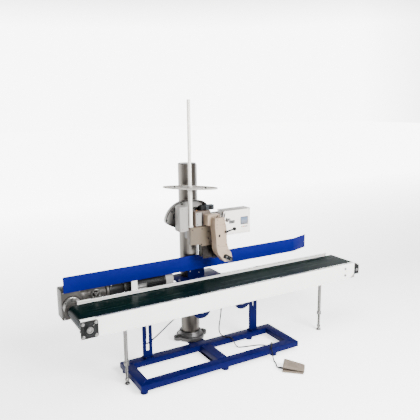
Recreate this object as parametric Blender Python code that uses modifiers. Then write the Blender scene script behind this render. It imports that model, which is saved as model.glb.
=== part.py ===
"""Pedestal bag closing sewing machine with its belt conveyor and foot switch.

Metres, +Z up. The origin is on the column's axis at the floor. +X runs along the
conveyor to its tail end, and the operator stands on the -Y side.
"""

import math

import bmesh
import bpy
from mathutils import Euler, Vector

GAP = 0.0003              # clearance between pieces that touch
WELD = 0.00002            # merge distance for caps and turned poles

# Column and its foot
COLUMN_RADIUS = 0.05715
COLUMN_WALL = 0.004
COLUMN_TOP = 1.168
SOLE_THICKNESS = 0.006
FOOT_TOP = 0.031
FOOT_HUB_TOP = 0.060
FOOT_RADIUS = 0.092
LOBE_RADIUS = 0.031
LOBE_PLACE = 0.088        # distance of each bolt lobe from the column's axis
RACK_THICKNESS = 0.010
RACK_HALF_WIDTH = 0.009

# Base frame of box section, on pads
FRAME_X = (-0.567, 0.4975)
FRAME_Y = (-0.515, -0.193)
FRAME_Z = (0.022, 0.056)
RAIL_WIDTH = 0.060
TIE_RAIL_X = (-0.0588, 0.0058)
PAD_RADIUS = 0.022

# Conveyor
BEAM_X = (-0.8275, 1.108)
REAR_BEAM_START = -0.762
BEAM_FRONT = -0.365
BEAM_REAR = -0.071
BEAM_Z = (0.323, 0.432)
BEAM_SHEET = 0.003
BEAM_FLANGE = 0.020
BELT_Y = (-0.340, -0.096)
BELT_THICKNESS = 0.003
ROLLER_RADIUS = 0.038
ROLLER_Z = 0.3775
DRIVE_X = -0.7845
TAIL_X = 1.135
AXLE_RADIUS = 0.010
BEARING_WIDTH = 0.096
TAKEUP_SHEET = 0.006
TAKEUP_HEIGHT = 0.063
RETURN_ROLLERS_X = (-0.095, 0.190)
RETURN_RADIUS = 0.0197
RETURN_Z = 0.3165
HANGER_RADIUS = 0.062
POSTS_X = (-0.4015, 0.351)
POST_Y = -0.223
POST_HALF_WIDTH = 0.030
POST_THICKNESS = 0.008
POST_SLOTS = {"left": (0.010, 0.100, 0.300), "right": (0.004, 0.225, 0.300)}   # half width, bottom and top
CROSS_BAR_TOP = 0.3345       # bars across the beams, under the belt
LEGS_X = (-0.584, 0.808)
LEG_Y = -0.352
LEG_FOOT_RADIUS = 0.0155

# Guide panel behind the belt
GUIDE_X = (-0.834, 0.80)
GUIDE_END = (0.945, -0.022)
GUIDE_Y = -0.0743
GUIDE_Z = (0.491, 0.586)
GUIDE_SHEET = 0.003

# Conveyor drive, in line behind the guide
DRIVE_AXIS_Y = 0.0
DRIVE_AXIS_Z = 0.440
GEARBOX_X = (-0.845, -0.729)
SPEED_WHEEL = (-0.645, -0.0675, 0.452)

# Sewing head
MAIN_AXIS = (0.020, 0.850)
MOTOR_AXIS = (-0.120, 0.852)
BELT_PLANE = (-0.1005, -0.0925)
HEAD_PULLEY_RADIUS = 0.055
MOTOR_PULLEY_RADIUS = 0.030
GROOVE_DEPTH = 0.0045
V_BELT_THICKNESS = 0.005
GUARD_LEFT = (-0.065, 0.805, 0.145)
GUARD_RIGHT = (0.020, 0.872, 0.071)
GUARD_FLOOR = 0.790
GUARD_Y = (-0.1115, -0.077)
GUARD_SHEET = 0.0025
ARM_Y = (-0.270, -0.207)
NEEDLE_AXIS = (0.112, 0.612)
PRESSER_AXIS = (0.142, 0.592)
LOOPER_AXIS = (0.045, -0.147)
FEED_DOG_Z = (0.6225, 0.6305)
LEVER_PIVOT = (0.119, -0.2727, 0.764)
LEVER_KNOB = (0.1783, 0.775)
LEVER_HALF_WIDTH = 0.0055
TENSION_AXIS = (-0.257, 0.832)
PINION_AXIS = (0.0855, 0.860)
CRANK_RADIUS = 0.098
CRANK_ARM_Y = (0.079, 0.087)
CRANK_GRIP_END = 0.150
THREAD_ROD = (-0.058, -0.147)
THREAD_ROD_TOP = 1.555
TRAY_HALF = (0.172, 0.062)
TRAY_TURN = math.radians(-45)
TRAY_Z = 1.033

# Foot switch: hinge end, turned about Z
PEDAL_HEEL = (0.3463, -0.7527)
PEDAL_TURN = math.radians(137)
PEDAL_LENGTH = 0.122
PEDAL_HALF_WIDTH = 0.041

# Cables: points along each centre line, from the junction box outwards
PEDAL_CABLE_RADIUS = 0.0035
PEDAL_CABLE = [
    (0.1220, -0.2000, 0.2600), (0.1210, -0.2000, 0.2300), (0.1150, -0.2000, 0.1850),
    (0.1070, -0.2010, 0.1450), (0.1030, -0.2030, 0.1120), (0.1060, -0.2070, 0.0870),
    (0.1170, -0.2160, 0.0690), (0.1330, -0.2330, 0.0608), (0.1520, -0.2520, 0.0612),
    (0.1628, -0.2664, 0.0545), (0.1666, -0.2714, 0.0457), (0.1762, -0.2842, 0.0180),
    (0.1850, -0.2960, 0.0062), (0.1980, -0.3050, 0.0042), (0.2350, -0.3170, 0.0038),
    (0.2750, -0.3270, 0.0038), (0.3150, -0.3400, 0.0038), (0.3450, -0.3620, 0.0038),
    (0.3560, -0.3920, 0.0042), (0.3506, -0.4116, 0.0105), (0.3487, -0.4176, 0.0180),
    (0.3439, -0.4329, 0.0457), (0.3395, -0.4469, 0.0592), (0.3330, -0.4600, 0.0608),
    (0.3100, -0.4880, 0.0603), (0.2870, -0.5130, 0.0612), (0.2798, -0.5312, 0.0548),
    (0.2779, -0.5372, 0.0460), (0.2735, -0.5524, 0.0185), (0.2700, -0.5665, 0.0062),
    (0.2660, -0.5840, 0.0040), (0.2580, -0.6040, 0.0038), (0.2480, -0.6220, 0.0040),
    (0.2400, -0.6370, 0.0055), (0.2410, -0.6530, 0.0080), (0.2483, -0.6613, 0.0085),
    (0.2565, -0.6690, 0.0085)
]
POWER_CABLE_RADIUS = 0.004
POWER_CABLE = [
    (0.0592, -0.185, 0.2950), (0.0430, -0.185, 0.2950), (0.0310, -0.176, 0.2820),
    (0.0370, -0.145, 0.2400), (0.0640, -0.090, 0.2020), (0.0800, -0.035, 0.1830),
    (0.0800, 0.020, 0.1700), (0.0520, 0.062, 0.1600), (0.0050, 0.078, 0.1500),
    (-0.0480, 0.068, 0.1410), (-0.1000, 0.040, 0.1330), (-0.1600, 0.000, 0.1250),
    (-0.2200, -0.045, 0.1180), (-0.2850, -0.093, 0.1120), (-0.3450, -0.137, 0.1100),
    (-0.3850, -0.170, 0.1180), (-0.4000, -0.192, 0.1450), (-0.4015, -0.202, 0.1850),
    (-0.4015, -0.203, 0.2350), (-0.4030, -0.193, 0.2750), (-0.4100, -0.165, 0.3000),
    (-0.4200, -0.120, 0.3080), (-0.4320, -0.070, 0.3120), (-0.4430, -0.030, 0.3250),
    (-0.4485, -0.004, 0.3460), (-0.4490, 0.000, 0.3580), (-0.4490, 0.000, 0.3688)
]

FINISHES = {
    "blue_paint": ((0.012, 0.03, 0.42), 0.25, 0.0),
    "navy_paint": ((0.01, 0.015, 0.12), 0.35, 0.0),
    "white_paint": ((0.82, 0.82, 0.80), 0.35, 0.0),
    "beige_enamel": ((0.60, 0.49, 0.36), 0.45, 0.0),
    "stainless": ((0.55, 0.55, 0.55), 0.30, 1.0),
    "cast_aluminium": ((0.42, 0.42, 0.42), 0.50, 0.8),
    "zinc": ((0.62, 0.62, 0.60), 0.35, 1.0),
    "black_iron": ((0.02, 0.02, 0.02), 0.50, 0.3),
    "dark_steel": ((0.10, 0.10, 0.10), 0.40, 0.9),
    "green_belt": ((0.005, 0.04, 0.03), 0.20, 0.0),
    "rubber": ((0.015, 0.015, 0.015), 0.65, 0.0),
    "light_grey": ((0.55, 0.55, 0.54), 0.45, 0.0),
    "pedal_beige": ((0.45, 0.42, 0.36), 0.55, 0.0),
    "clear_tray": ((0.75, 0.75, 0.73), 0.30, 0.0),
}
TURNS = {"Z": (0.0, 0.0, 0.0), "X": (0.0, math.pi / 2, 0.0), "Y": (-math.pi / 2, 0.0, 0.0)}
PLANES = {"XY": (0.0, 0.0, 0.0), "XZ": (math.pi / 2, 0.0, 0.0), "YZ": (math.pi / 2, 0.0, math.pi / 2)}


# ---------------------------------------------------------------- tools

def new_collection(name):
    collection = bpy.data.collections.new(name)
    bpy.context.scene.collection.children.link(collection)
    return collection


def finish_material(name, finish):
    colour, roughness, metallic = FINISHES[finish]
    material = bpy.data.materials.new(name + "_material")
    material.use_nodes = True
    shader = material.node_tree.nodes["Principled BSDF"]
    shader.inputs["Base Color"].default_value = (*colour, 1.0)
    shader.inputs["Roughness"].default_value = roughness
    shader.inputs["Metallic"].default_value = metallic
    return material


def place(name, mesh, finish, origin, rotation=(0.0, 0.0, 0.0)):
    """Put a mesh in the model, or among the cutters when it has no finish."""
    part = bpy.data.objects.new(name, mesh)
    part.location = origin
    part.rotation_euler = rotation
    if finish is None:
        CUTTERS.objects.link(part)
        part.hide_render = True
        part.display_type = "WIRE"
    else:
        MODEL.objects.link(part)
        mesh.materials.append(finish_material(name, finish))
    return part


def box(name, low, high, finish=None, bevel=0.0, origin=None):
    """A box between two corners, with an optional rounded edge."""
    low = Vector(low)
    high = Vector(high)
    centre = (low + high) / 2
    origin = centre if origin is None else Vector(origin)
    form = bmesh.new()
    bmesh.ops.create_cube(form, size=1.0)
    bmesh.ops.scale(form, vec=high - low, verts=form.verts)
    bmesh.ops.translate(form, vec=centre - origin, verts=form.verts)
    mesh = bpy.data.meshes.new(name)
    form.to_mesh(mesh)
    form.free()
    part = place(name, mesh, finish, origin)
    if bevel:
        edge = part.modifiers.new("rounding", "BEVEL")
        edge.width = bevel
        edge.segments = 2
    return part


def turned(name, axis, centre, steps, finish=None, sides=32, bore=0.0):
    """A turned piece: steps are (place along the axis, radius), from the far end to the near one."""
    profile = [(radius, height) for height, radius in steps]
    inner = bore if bore else 0.0
    profile = [(inner, profile[0][1])] + profile + [(inner, profile[-1][1])]
    mesh = bpy.data.meshes.new(name)
    edges = [(i, i + 1) for i in range(len(profile) - 1)]
    if bore:
        edges.append((len(profile) - 1, 0))
    mesh.from_pydata([(radius, 0.0, height) for radius, height in profile], edges, [])
    part = place(name, mesh, finish, centre, TURNS[axis])
    screw = part.modifiers.new("turning", "SCREW")
    screw.steps = sides
    screw.render_steps = sides
    screw.use_merge_vertices = True
    screw.merge_threshold = WELD
    return part


def cylinder(name, axis, centre, low, high, radius, finish=None, sides=32, bore=0.0):
    """A plain cylinder from low to high along its axis, measured from its centre."""
    return turned(name, axis, centre, [(high, radius), (low, radius)], finish, sides, bore)


def as_mesh(part, finish):
    """Turn a curve into a welded mesh object in the same place."""
    graph = bpy.context.evaluated_depsgraph_get()
    mesh = bpy.data.meshes.new_from_object(part.evaluated_get(graph))
    form = bmesh.new()
    form.from_mesh(mesh)
    bmesh.ops.remove_doubles(form, verts=form.verts, dist=WELD)
    form.to_mesh(mesh)
    form.free()
    mesh.materials.clear()
    name = part.name
    origin = part.location.copy()
    rotation = part.rotation_euler.copy()
    bpy.data.objects.remove(part)
    mesh.name = name
    return place(name, mesh, finish, origin, rotation)


def prism(name, plane, loops, low, high, finish=None, bevel=0.0, origin=(0.0, 0.0), turn=0.0):
    """An outline, with any holes as further loops, drawn in a plane and extruded from low to high."""
    curve = bpy.data.curves.new(name, "CURVE")
    curve.dimensions = "2D"
    curve.fill_mode = "BOTH"
    curve.extrude = (high - low) / 2
    for loop in loops:
        spline = curve.splines.new("POLY")
        spline.points.add(len(loop) - 1)
        for point, (across, along) in zip(spline.points, loop):
            point.co = (across - origin[0], along - origin[1], 0.0, 1.0)
        spline.use_cyclic_u = True
    part = bpy.data.objects.new(name, curve)
    middle = (low + high) / 2
    part.location = {
        "XY": (origin[0], origin[1], middle),
        "XZ": (origin[0], middle, origin[1]),
        "YZ": (middle, origin[0], origin[1]),
    }[plane]
    base = Euler(PLANES[plane]).to_matrix()
    part.rotation_euler = (Euler((0.0, 0.0, turn)).to_matrix() @ base).to_euler()
    MODEL.objects.link(part)
    bpy.context.view_layer.update()
    solid = as_mesh(part, finish)
    if bevel:
        edge = solid.modifiers.new("rounding", "BEVEL")
        edge.width = bevel
        edge.segments = 2
        edge.limit_method = "ANGLE"
    return solid


def cable(name, route, radius, finish, spacing):
    """A tube with filled ends along a smooth curve through the route's points."""
    points = smooth_route(route, spacing)
    curve = bpy.data.curves.new(name, "CURVE")
    curve.dimensions = "3D"
    curve.bevel_depth = radius
    curve.bevel_resolution = 2
    curve.use_fill_caps = True
    curve.resolution_u = 1
    curve.render_resolution_u = 0
    spline = curve.splines.new("POLY")
    spline.points.add(len(points) - 1)
    for point, place_on_route in zip(spline.points, points):
        point.co = (*place_on_route, 1.0)
    part = bpy.data.objects.new(name, curve)
    MODEL.objects.link(part)
    bpy.context.view_layer.update()
    return as_mesh(part, finish)


def smooth_route(route, spacing):
    """Points at even spacing on the Catmull-Rom curve through a route."""
    stops = [Vector(stop) for stop in route]
    padded = [2 * stops[0] - stops[1]] + stops + [2 * stops[-1] - stops[-2]]
    dense = []
    fineness = 24
    for i in range(1, len(padded) - 2):
        before, start, end, after = padded[i - 1:i + 3]
        for step in range(fineness):
            t = step / fineness
            dense.append(0.5 * (2 * start + (end - before) * t
                                + (2 * before - 5 * start + 4 * end - after) * t ** 2
                                + (3 * start - before - 3 * end + after) * t ** 3))
    dense.append(stops[-1])
    lengths = [0.0]
    for one, two in zip(dense, dense[1:]):
        lengths.append(lengths[-1] + (two - one).length)
    count = max(2, round(lengths[-1] / spacing))
    result = []
    k = 0
    for i in range(count + 1):
        target = lengths[-1] * i / count
        while k < len(lengths) - 2 and lengths[k + 1] < target:
            k += 1
        span = lengths[k + 1] - lengths[k]
        result.append(dense[k].lerp(dense[k + 1], (target - lengths[k]) / span))
    return result


def combine(part, operation, tools):
    for tool in tools:
        step = part.modifiers.new(operation.lower(), "BOOLEAN")
        step.operation = operation
        step.solver = "EXACT"
        step.object = tool
    return part


def cut(part, *tools):
    return combine(part, "DIFFERENCE", tools)


def join(part, *tools):
    return combine(part, "UNION", tools)


def arc(centre, radius, start, end, count):
    """Points on an arc, in degrees, anticlockwise when end is larger."""
    points = []
    for i in range(count + 1):
        angle = math.radians(start + (end - start) * i / count)
        points.append((centre[0] + radius * math.cos(angle), centre[1] + radius * math.sin(angle)))
    return points


def lobed_outline(radius, place, lobe_radius):
    """A disc with a round lobe at each end of its X diameter."""
    reach = math.degrees(math.acos((radius ** 2 + place ** 2 - lobe_radius ** 2) / (2 * radius * place)))
    turn = math.degrees(math.acos((radius ** 2 - place ** 2 - lobe_radius ** 2) / (2 * place * lobe_radius)))
    right = arc((place, 0.0), lobe_radius, -turn, turn, 10)
    left = arc((-place, 0.0), lobe_radius, 180 - turn, 180 + turn, 10)
    rear = arc((0.0, 0.0), radius, reach, 180 - reach, 14)[1:-1]
    front = arc((0.0, 0.0), radius, 180 + reach, 360 - reach, 14)[1:-1]
    return right + rear + left + front


def loop_round(first, second, first_radius, second_radius, count=14):
    """The outline of a taut band round two circles, the first one on the left."""
    run = math.hypot(second[0] - first[0], second[1] - first[1])
    slope = math.degrees(math.atan2(second[1] - first[1], second[0] - first[0]))
    lean = math.degrees(math.acos((first_radius - second_radius) / run))
    left = arc(first, first_radius, slope + lean, slope + 360 - lean, count)
    right = arc(second, second_radius, slope - lean, slope + lean, count)
    return left + right


# ---------------------------------------------------------------- base and column

def build_base_frame():
    inside = RAIL_WIDTH
    frame = box("base_frame", (FRAME_X[0], FRAME_Y[0], FRAME_Z[0]), (FRAME_X[1], FRAME_Y[1], FRAME_Z[1]),
                "blue_paint")
    bays = [(FRAME_X[0] + inside, TIE_RAIL_X[0]), (TIE_RAIL_X[1], FRAME_X[1] - inside)]
    for number, (left, right) in enumerate(bays):
        cut(frame, box(f"frame_bay_{number}", (left, FRAME_Y[0] + inside, 0.0),
                       (right, FRAME_Y[1] - inside, 0.1)))
    pads = [(-0.540, -0.488), (-0.540, -0.220), (-0.026, -0.488), (0.322, -0.488), (0.322, -0.220)]
    for number, (x, y) in enumerate(pads):
        join(frame, cylinder(f"frame_pad_{number}", "Z", (x, y, 0.0), 0.0, 0.030, PAD_RADIUS, sides=20))


def build_sole_plate():
    """Thin plate under the column foot, run forward under the frame's middle rail."""
    plate = box("sole_plate", (-0.056, -0.195, 0.0), (0.056, 0.092, SOLE_THICKNESS), "navy_paint")
    join(plate, box("sole_tongue", (-0.056, -0.430, 0.0), (0.002, -0.190, SOLE_THICKNESS)),
         box("sole_packer", (-0.050, -0.250, 0.004), (-0.002, -0.200, FRAME_Z[0] - GAP)))


def build_column():
    base = SOLE_THICKNESS + GAP
    seat = base + 0.006
    outline = lobed_outline(FOOT_RADIUS, LOBE_PLACE, LOBE_RADIUS)
    foot = prism("column_foot", "XY", [outline], base, FOOT_TOP, "cast_aluminium")
    hub = [(FOOT_HUB_TOP, 0.070), (FOOT_TOP + 0.006, 0.078), (FOOT_TOP - 0.004, 0.088)]
    join(foot, turned("foot_hub", "Z", (0.0, 0.0, 0.0), hub, sides=36))
    cut(foot, cylinder("foot_socket", "Z", (0.0, 0.0, 0.0), seat, 0.1, COLUMN_RADIUS + GAP, sides=40))
    inner = COLUMN_RADIUS - COLUMN_WALL
    tube = cylinder("column_tube", "Z", (0.0, 0.0, 0.0), seat + GAP, COLUMN_TOP, COLUMN_RADIUS, "stainless",
                    sides=40)
    cut(tube, cylinder("column_bore", "Z", (0.0, 0.0, 0.0), 0.0, COLUMN_TOP - COLUMN_WALL, inner, sides=40))
    rack_face = COLUMN_RADIUS + GAP
    box("column_rack", (rack_face, -RACK_HALF_WIDTH, FOOT_HUB_TOP + 0.004),
        (rack_face + RACK_THICKNESS, RACK_HALF_WIDTH, COLUMN_TOP - 0.010), "zinc")


def build_posts():
    """Slotted uprights between the base frame and the conveyor."""
    foot = FRAME_Z[1] + GAP
    bar_y = (BEAM_FRONT + BEAM_SHEET + GAP, BEAM_REAR - BEAM_SHEET - GAP)
    bar_z = BEAM_Z[0] + BEAM_SHEET + GAP
    for side, x in zip(("left", "right"), POSTS_X):
        left = x - POST_HALF_WIDTH
        right = x + POST_HALF_WIDTH
        post = box(f"post_{side}", (left, POST_Y - POST_THICKNESS / 2, foot),
                   (right, POST_Y + POST_THICKNESS / 2, CROSS_BAR_TOP - 0.0035), "blue_paint")
        join(post,
             box(f"post_foot_{side}", (left, POST_Y - 0.026, foot), (right, POST_Y + 0.026, foot + 0.0057)),
             box(f"post_bar_{side}", (x - 0.025, bar_y[0], bar_z), (x + 0.025, bar_y[1], CROSS_BAR_TOP)))
        half, slot_low, slot_high = POST_SLOTS[side]
        cut(post, box(f"post_slot_{side}", (x - half, POST_Y - 0.010, slot_low),
                      (x + half, POST_Y + 0.010, slot_high)))


# ---------------------------------------------------------------- conveyor

def beam(name, outer, inward, start):
    """A C channel with its web outside; inward is +1 or -1 along Y."""
    web = outer + inward * BEAM_SHEET
    lip = outer + inward * BEAM_FLANGE
    low, high = BEAM_Z
    outline = [(outer, low), (lip, low), (lip, low + BEAM_SHEET), (web, low + BEAM_SHEET),
               (web, high - BEAM_SHEET), (lip, high - BEAM_SHEET), (lip, high), (outer, high)]
    channel = prism(name, "YZ", [outline], start, BEAM_X[1], "white_paint")
    if start < DRIVE_X:
        cut(channel, cylinder(name + "_bore", "Y", (DRIVE_X, outer, ROLLER_Z), -0.02, 0.02, 0.016, sides=24))


def build_belt():
    """One endless band round both rollers."""
    inner = ROLLER_RADIUS
    outer = ROLLER_RADIUS + BELT_THICKNESS
    left = (DRIVE_X, ROLLER_Z)
    right = (TAIL_X, ROLLER_Z)
    prism("conveyor_belt", "XZ",
          [loop_round(left, right, outer, outer), loop_round(left, right, inner, inner)],
          BELT_Y[0], BELT_Y[1], "green_belt")
    bed_top = ROLLER_Z + ROLLER_RADIUS - GAP
    box("slider_bed", (DRIVE_X + 0.055, BELT_Y[0] - 0.0045, bed_top - 0.002),
        (TAIL_X - 0.055, BELT_Y[1] + 0.0045, bed_top), "zinc")


def build_rollers():
    body = ROLLER_RADIUS - GAP
    middle = (BELT_Y[0] + BELT_Y[1]) / 2
    half = (BELT_Y[1] - BELT_Y[0]) / 2 - 0.002
    turned("drive_roller", "Y", (DRIVE_X, middle, ROLLER_Z),
           [(-0.020 - middle, AXLE_RADIUS), (half, AXLE_RADIUS), (half, body), (-half, body),
            (-half, AXLE_RADIUS), (-0.383 - middle, AXLE_RADIUS)], "dark_steel", sides=28)
    turned("tail_roller", "Y", (TAIL_X, middle, ROLLER_Z),
           [(-0.070 - middle, AXLE_RADIUS), (half, AXLE_RADIUS), (half, body), (-half, body),
            (-half, AXLE_RADIUS), (-0.366 - middle, AXLE_RADIUS)], "dark_steel", sides=28)
    for number, x in enumerate(RETURN_ROLLERS_X, start=1):
        turned(f"return_roller_{number}", "Y", (x, middle, RETURN_Z),
               [(half, RETURN_RADIUS), (-half, RETURN_RADIUS)], "dark_steel", sides=24, bore=0.0063)
        hanger = None
        outline = arc((x, 0.340), HANGER_RADIUS, 180, 360, 14)
        outline += [(x + HANGER_RADIUS, 0.362), (x - HANGER_RADIUS, 0.362)]
        for side, low in (("front", BELT_Y[0] - 0.0047), ("rear", BELT_Y[1] + GAP)):
            finish = "blue_paint" if hanger is None else None
            name = f"return_hanger_{number}" if hanger is None else f"hanger_{side}_{number}"
            plate = prism(name, "XZ", [outline], low, low + 0.0044, finish)
            if hanger is None:
                hanger = plate
            else:
                join(hanger, plate)
        axle = (x, middle, RETURN_Z)
        join(hanger, cylinder(f"return_axle_{number}", "Y", axle, -0.125, 0.125, 0.006, sides=16))


def build_drive_bearing():
    """Square flange bearing of the drive roller, outside the front beam."""
    half = BEARING_WIDTH / 2
    face = BEAM_FRONT - GAP
    centre = (DRIVE_X, face, ROLLER_Z)
    block = box("drive_bearing", (DRIVE_X - half, face - 0.012, ROLLER_Z - half),
                (DRIVE_X + half, face, ROLLER_Z + half), "black_iron", bevel=0.005)
    join(block, cylinder("bearing_hub", "Y", centre, -0.021, -0.004, 0.026, sides=28))
    cut(block, cylinder("bearing_bore", "Y", centre, -0.03, 0.01, AXLE_RADIUS + GAP, sides=20))


def build_takeups():
    """Slides that hold the tail axle inside the ends of the beams."""
    inside_front = BEAM_FRONT + BEAM_SHEET + GAP
    inside_rear = BEAM_REAR - BEAM_SHEET - GAP - TAKEUP_SHEET
    half_height = TAKEUP_HEIGHT / 2
    for side, low in (("front", inside_front), ("rear", inside_rear)):
        plate = box(f"takeup_{side}", (TAIL_X - 0.150, low, ROLLER_Z - half_height),
                    (TAIL_X + 0.022, low + TAKEUP_SHEET, ROLLER_Z + half_height), "zinc")
        axle = (TAIL_X, low, ROLLER_Z)
        cut(plate, cylinder(f"takeup_bore_{side}", "Y", axle, -0.01, 0.02, AXLE_RADIUS + GAP, sides=20))


def build_conveyor_drive():
    back = BEAM_REAR + GAP
    shaft_end = (DRIVE_X, back, ROLLER_Z)
    gearbox = box("gearbox", (GEARBOX_X[0], back + 0.013, 0.322), (GEARBOX_X[1], 0.045, 0.500),
                  "cast_aluminium", bevel=0.006)
    join(gearbox, cylinder("gearbox_flange", "Y", shaft_end, 0.0, 0.030, 0.050, sides=32))
    cut(gearbox, cylinder("gearbox_bore", "Y", shaft_end, -0.02, 0.060, AXLE_RADIUS + GAP, sides=20))
    line = (0.0, DRIVE_AXIS_Y, DRIVE_AXIS_Z)
    shell = [(-0.561, 0.058), (-0.575, 0.058), (-0.580, 0.047), (-0.690, 0.047), (-0.700, 0.055),
             (GEARBOX_X[1] + GAP, 0.055)]
    variator = turned("variator", "X", line, shell, "cast_aluminium", sides=32)
    boss = (SPEED_WHEEL[0], 0.0, SPEED_WHEEL[2])
    join(variator, cylinder("variator_boss", "Y", boss, -0.0555, -0.020, 0.014, sides=20))
    wheel = cylinder("speed_wheel", "Y", SPEED_WHEEL, 0.0, 0.0055, 0.028, "zinc", sides=28)
    join(wheel, cylinder("speed_hub", "Y", SPEED_WHEEL, 0.004, 0.0115, 0.009, sides=20))
    shell = [(-0.136, 0.054), (-0.142, 0.060), (-0.190, 0.060), (-0.191, 0.056), (-0.466, 0.056),
             (-0.468, 0.045), (-0.540, 0.045), (-0.545, 0.062), (-0.561 + GAP, 0.062)]
    motor = turned("conveyor_motor", "X", line, shell, "black_iron", sides=28)
    join(motor, cylinder("motor_gland", "Z", (-0.449, 0.0, 0.0), 0.3695, 0.400, 0.008, sides=16))


def build_guide():
    back = GUIDE_Y + GUIDE_SHEET
    end_x, end_y = GUIDE_END
    outline = [(GUIDE_X[0], GUIDE_Y), (GUIDE_X[1], GUIDE_Y), (end_x + 0.001, end_y - GUIDE_SHEET),
               (end_x, end_y), (GUIDE_X[1] - 0.001, back), (GUIDE_X[0], back)]
    prism("guide_panel", "XY", [outline], GUIDE_Z[0], GUIDE_Z[1], "blue_paint")
    behind = back + GAP
    outside_beam = BEAM_REAR + GAP
    box("guide_post", (-0.427, max(behind, outside_beam), 0.360), (-0.389, outside_beam + 0.005, 0.572),
        "white_paint")
    plate_low = BEAM_Z[1] + GAP
    plate_high = plate_low + 0.006
    plate = box("tie_plate", (-0.130, -0.090, plate_low), (0.190, 0.055, plate_high), "navy_paint")
    cut(plate, cylinder("tie_hole", "Z", (0.0, 0.0, plate_low), -0.01, 0.02, COLUMN_RADIUS + GAP, sides=40),
        box("tie_rack_gap", (0.04, -0.011, 0.42), (0.075, 0.011, 0.45)))
    box("guide_bracket", (-0.045, outside_beam, plate_high + GAP), (0.075, outside_beam + 0.005, 0.572),
        "navy_paint")


def build_legs():
    for side, x in zip(("left", "right"), LEGS_X):
        turned(f"leg_tube_{side}", "Z", (x, LEG_Y, 0.0),
               [(BEAM_Z[0] - GAP, 0.011), (0.134, 0.011), (0.134, 0.0145), (0.112, 0.0145)],
               "zinc", sides=20, bore=0.0085)
        turned(f"leg_screw_{side}", "Z", (x, LEG_Y, 0.0),
               [(0.260, 0.008), (0.034, 0.008), (0.034, 0.013), (0.021, 0.013), (0.021, 0.008),
                (0.014, 0.008), (0.008, LEG_FOOT_RADIUS), (0.0, LEG_FOOT_RADIUS)], "zinc", sides=20)


def build_junction_box():
    """Wiring box slung between the beams, under the belt's return run."""
    case = box("junction_box", (0.060, -0.250, 0.275), (0.140, -0.150, 0.331), "light_grey", bevel=0.003)
    join(case,
         box("junction_strap", (0.080, BEAM_FRONT + BEAM_SHEET + GAP, BEAM_Z[0] + BEAM_SHEET + GAP),
             (0.120, BEAM_REAR - BEAM_SHEET - GAP, CROSS_BAR_TOP)),
         cylinder("junction_gland", "Z", (0.122, -0.200, 0.0), 0.2605, 0.280, 0.009, sides=16))


# ---------------------------------------------------------------- sewing head

def build_carriage():
    """Split sleeve on the column, with the head's arm, the pinion box and the control box bracket."""
    front = -0.1237
    sleeve = cylinder("carriage", "Z", (0.0, 0.0, 0.0), 0.800, 0.915, 0.0745, "cast_aluminium", sides=40)
    join(sleeve,
         box("carriage_arm", (-0.045, front, 0.700), (0.045, -0.030, 0.785)),
         box("carriage_web", (-0.045, -0.0745, 0.705), (0.045, -0.030, 0.840)),
         box("pinion_case", (0.050, -0.030, 0.828), (0.114, 0.030, 0.892)),
         box("box_bracket", (0.060, -0.0197, 0.805), (0.350, -0.0137, 0.838)))
    cut(sleeve,
        cylinder("carriage_bore", "Z", (0.0, 0.0, 0.0), 0.6, 1.0, COLUMN_RADIUS + GAP, sides=40),
        box("carriage_rack_slot", (0.040, -RACK_HALF_WIDTH - GAP, 0.6),
            (COLUMN_RADIUS + RACK_THICKNESS + 3 * GAP, RACK_HALF_WIDTH + GAP, 1.0)),
        box("pinion_space", (0.060, -0.0115, 0.838), (0.106, 0.0115, 0.882)),
        cylinder("pinion_bore", "Y", (PINION_AXIS[0], 0.0, PINION_AXIS[1]), -0.05, 0.05, 0.0064, sides=20))


def build_lift_pinion():
    """Pinion shaft and its crank, behind the column, with the crank at rest towards -X."""
    x, z = PINION_AXIS
    arm_low, arm_high = CRANK_ARM_Y
    shaft = turned("lift_pinion", "Y", (x, 0.0, z),
                   [(arm_high + 0.005, 0.006), (0.0105, 0.006), (0.0105, 0.0174), (-0.0105, 0.0174),
                    (-0.0105, 0.006), (-0.034, 0.006)], "dark_steel", sides=24)
    join(shaft,
         box("crank_arm", (x - CRANK_RADIUS - 0.011, arm_low, z - 0.009), (x + 0.009, arm_high, z + 0.009)),
         cylinder("crank_grip", "Y", (x - CRANK_RADIUS, 0.0, z), arm_low + 0.002, CRANK_GRIP_END, 0.009,
                  sides=20))


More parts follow.
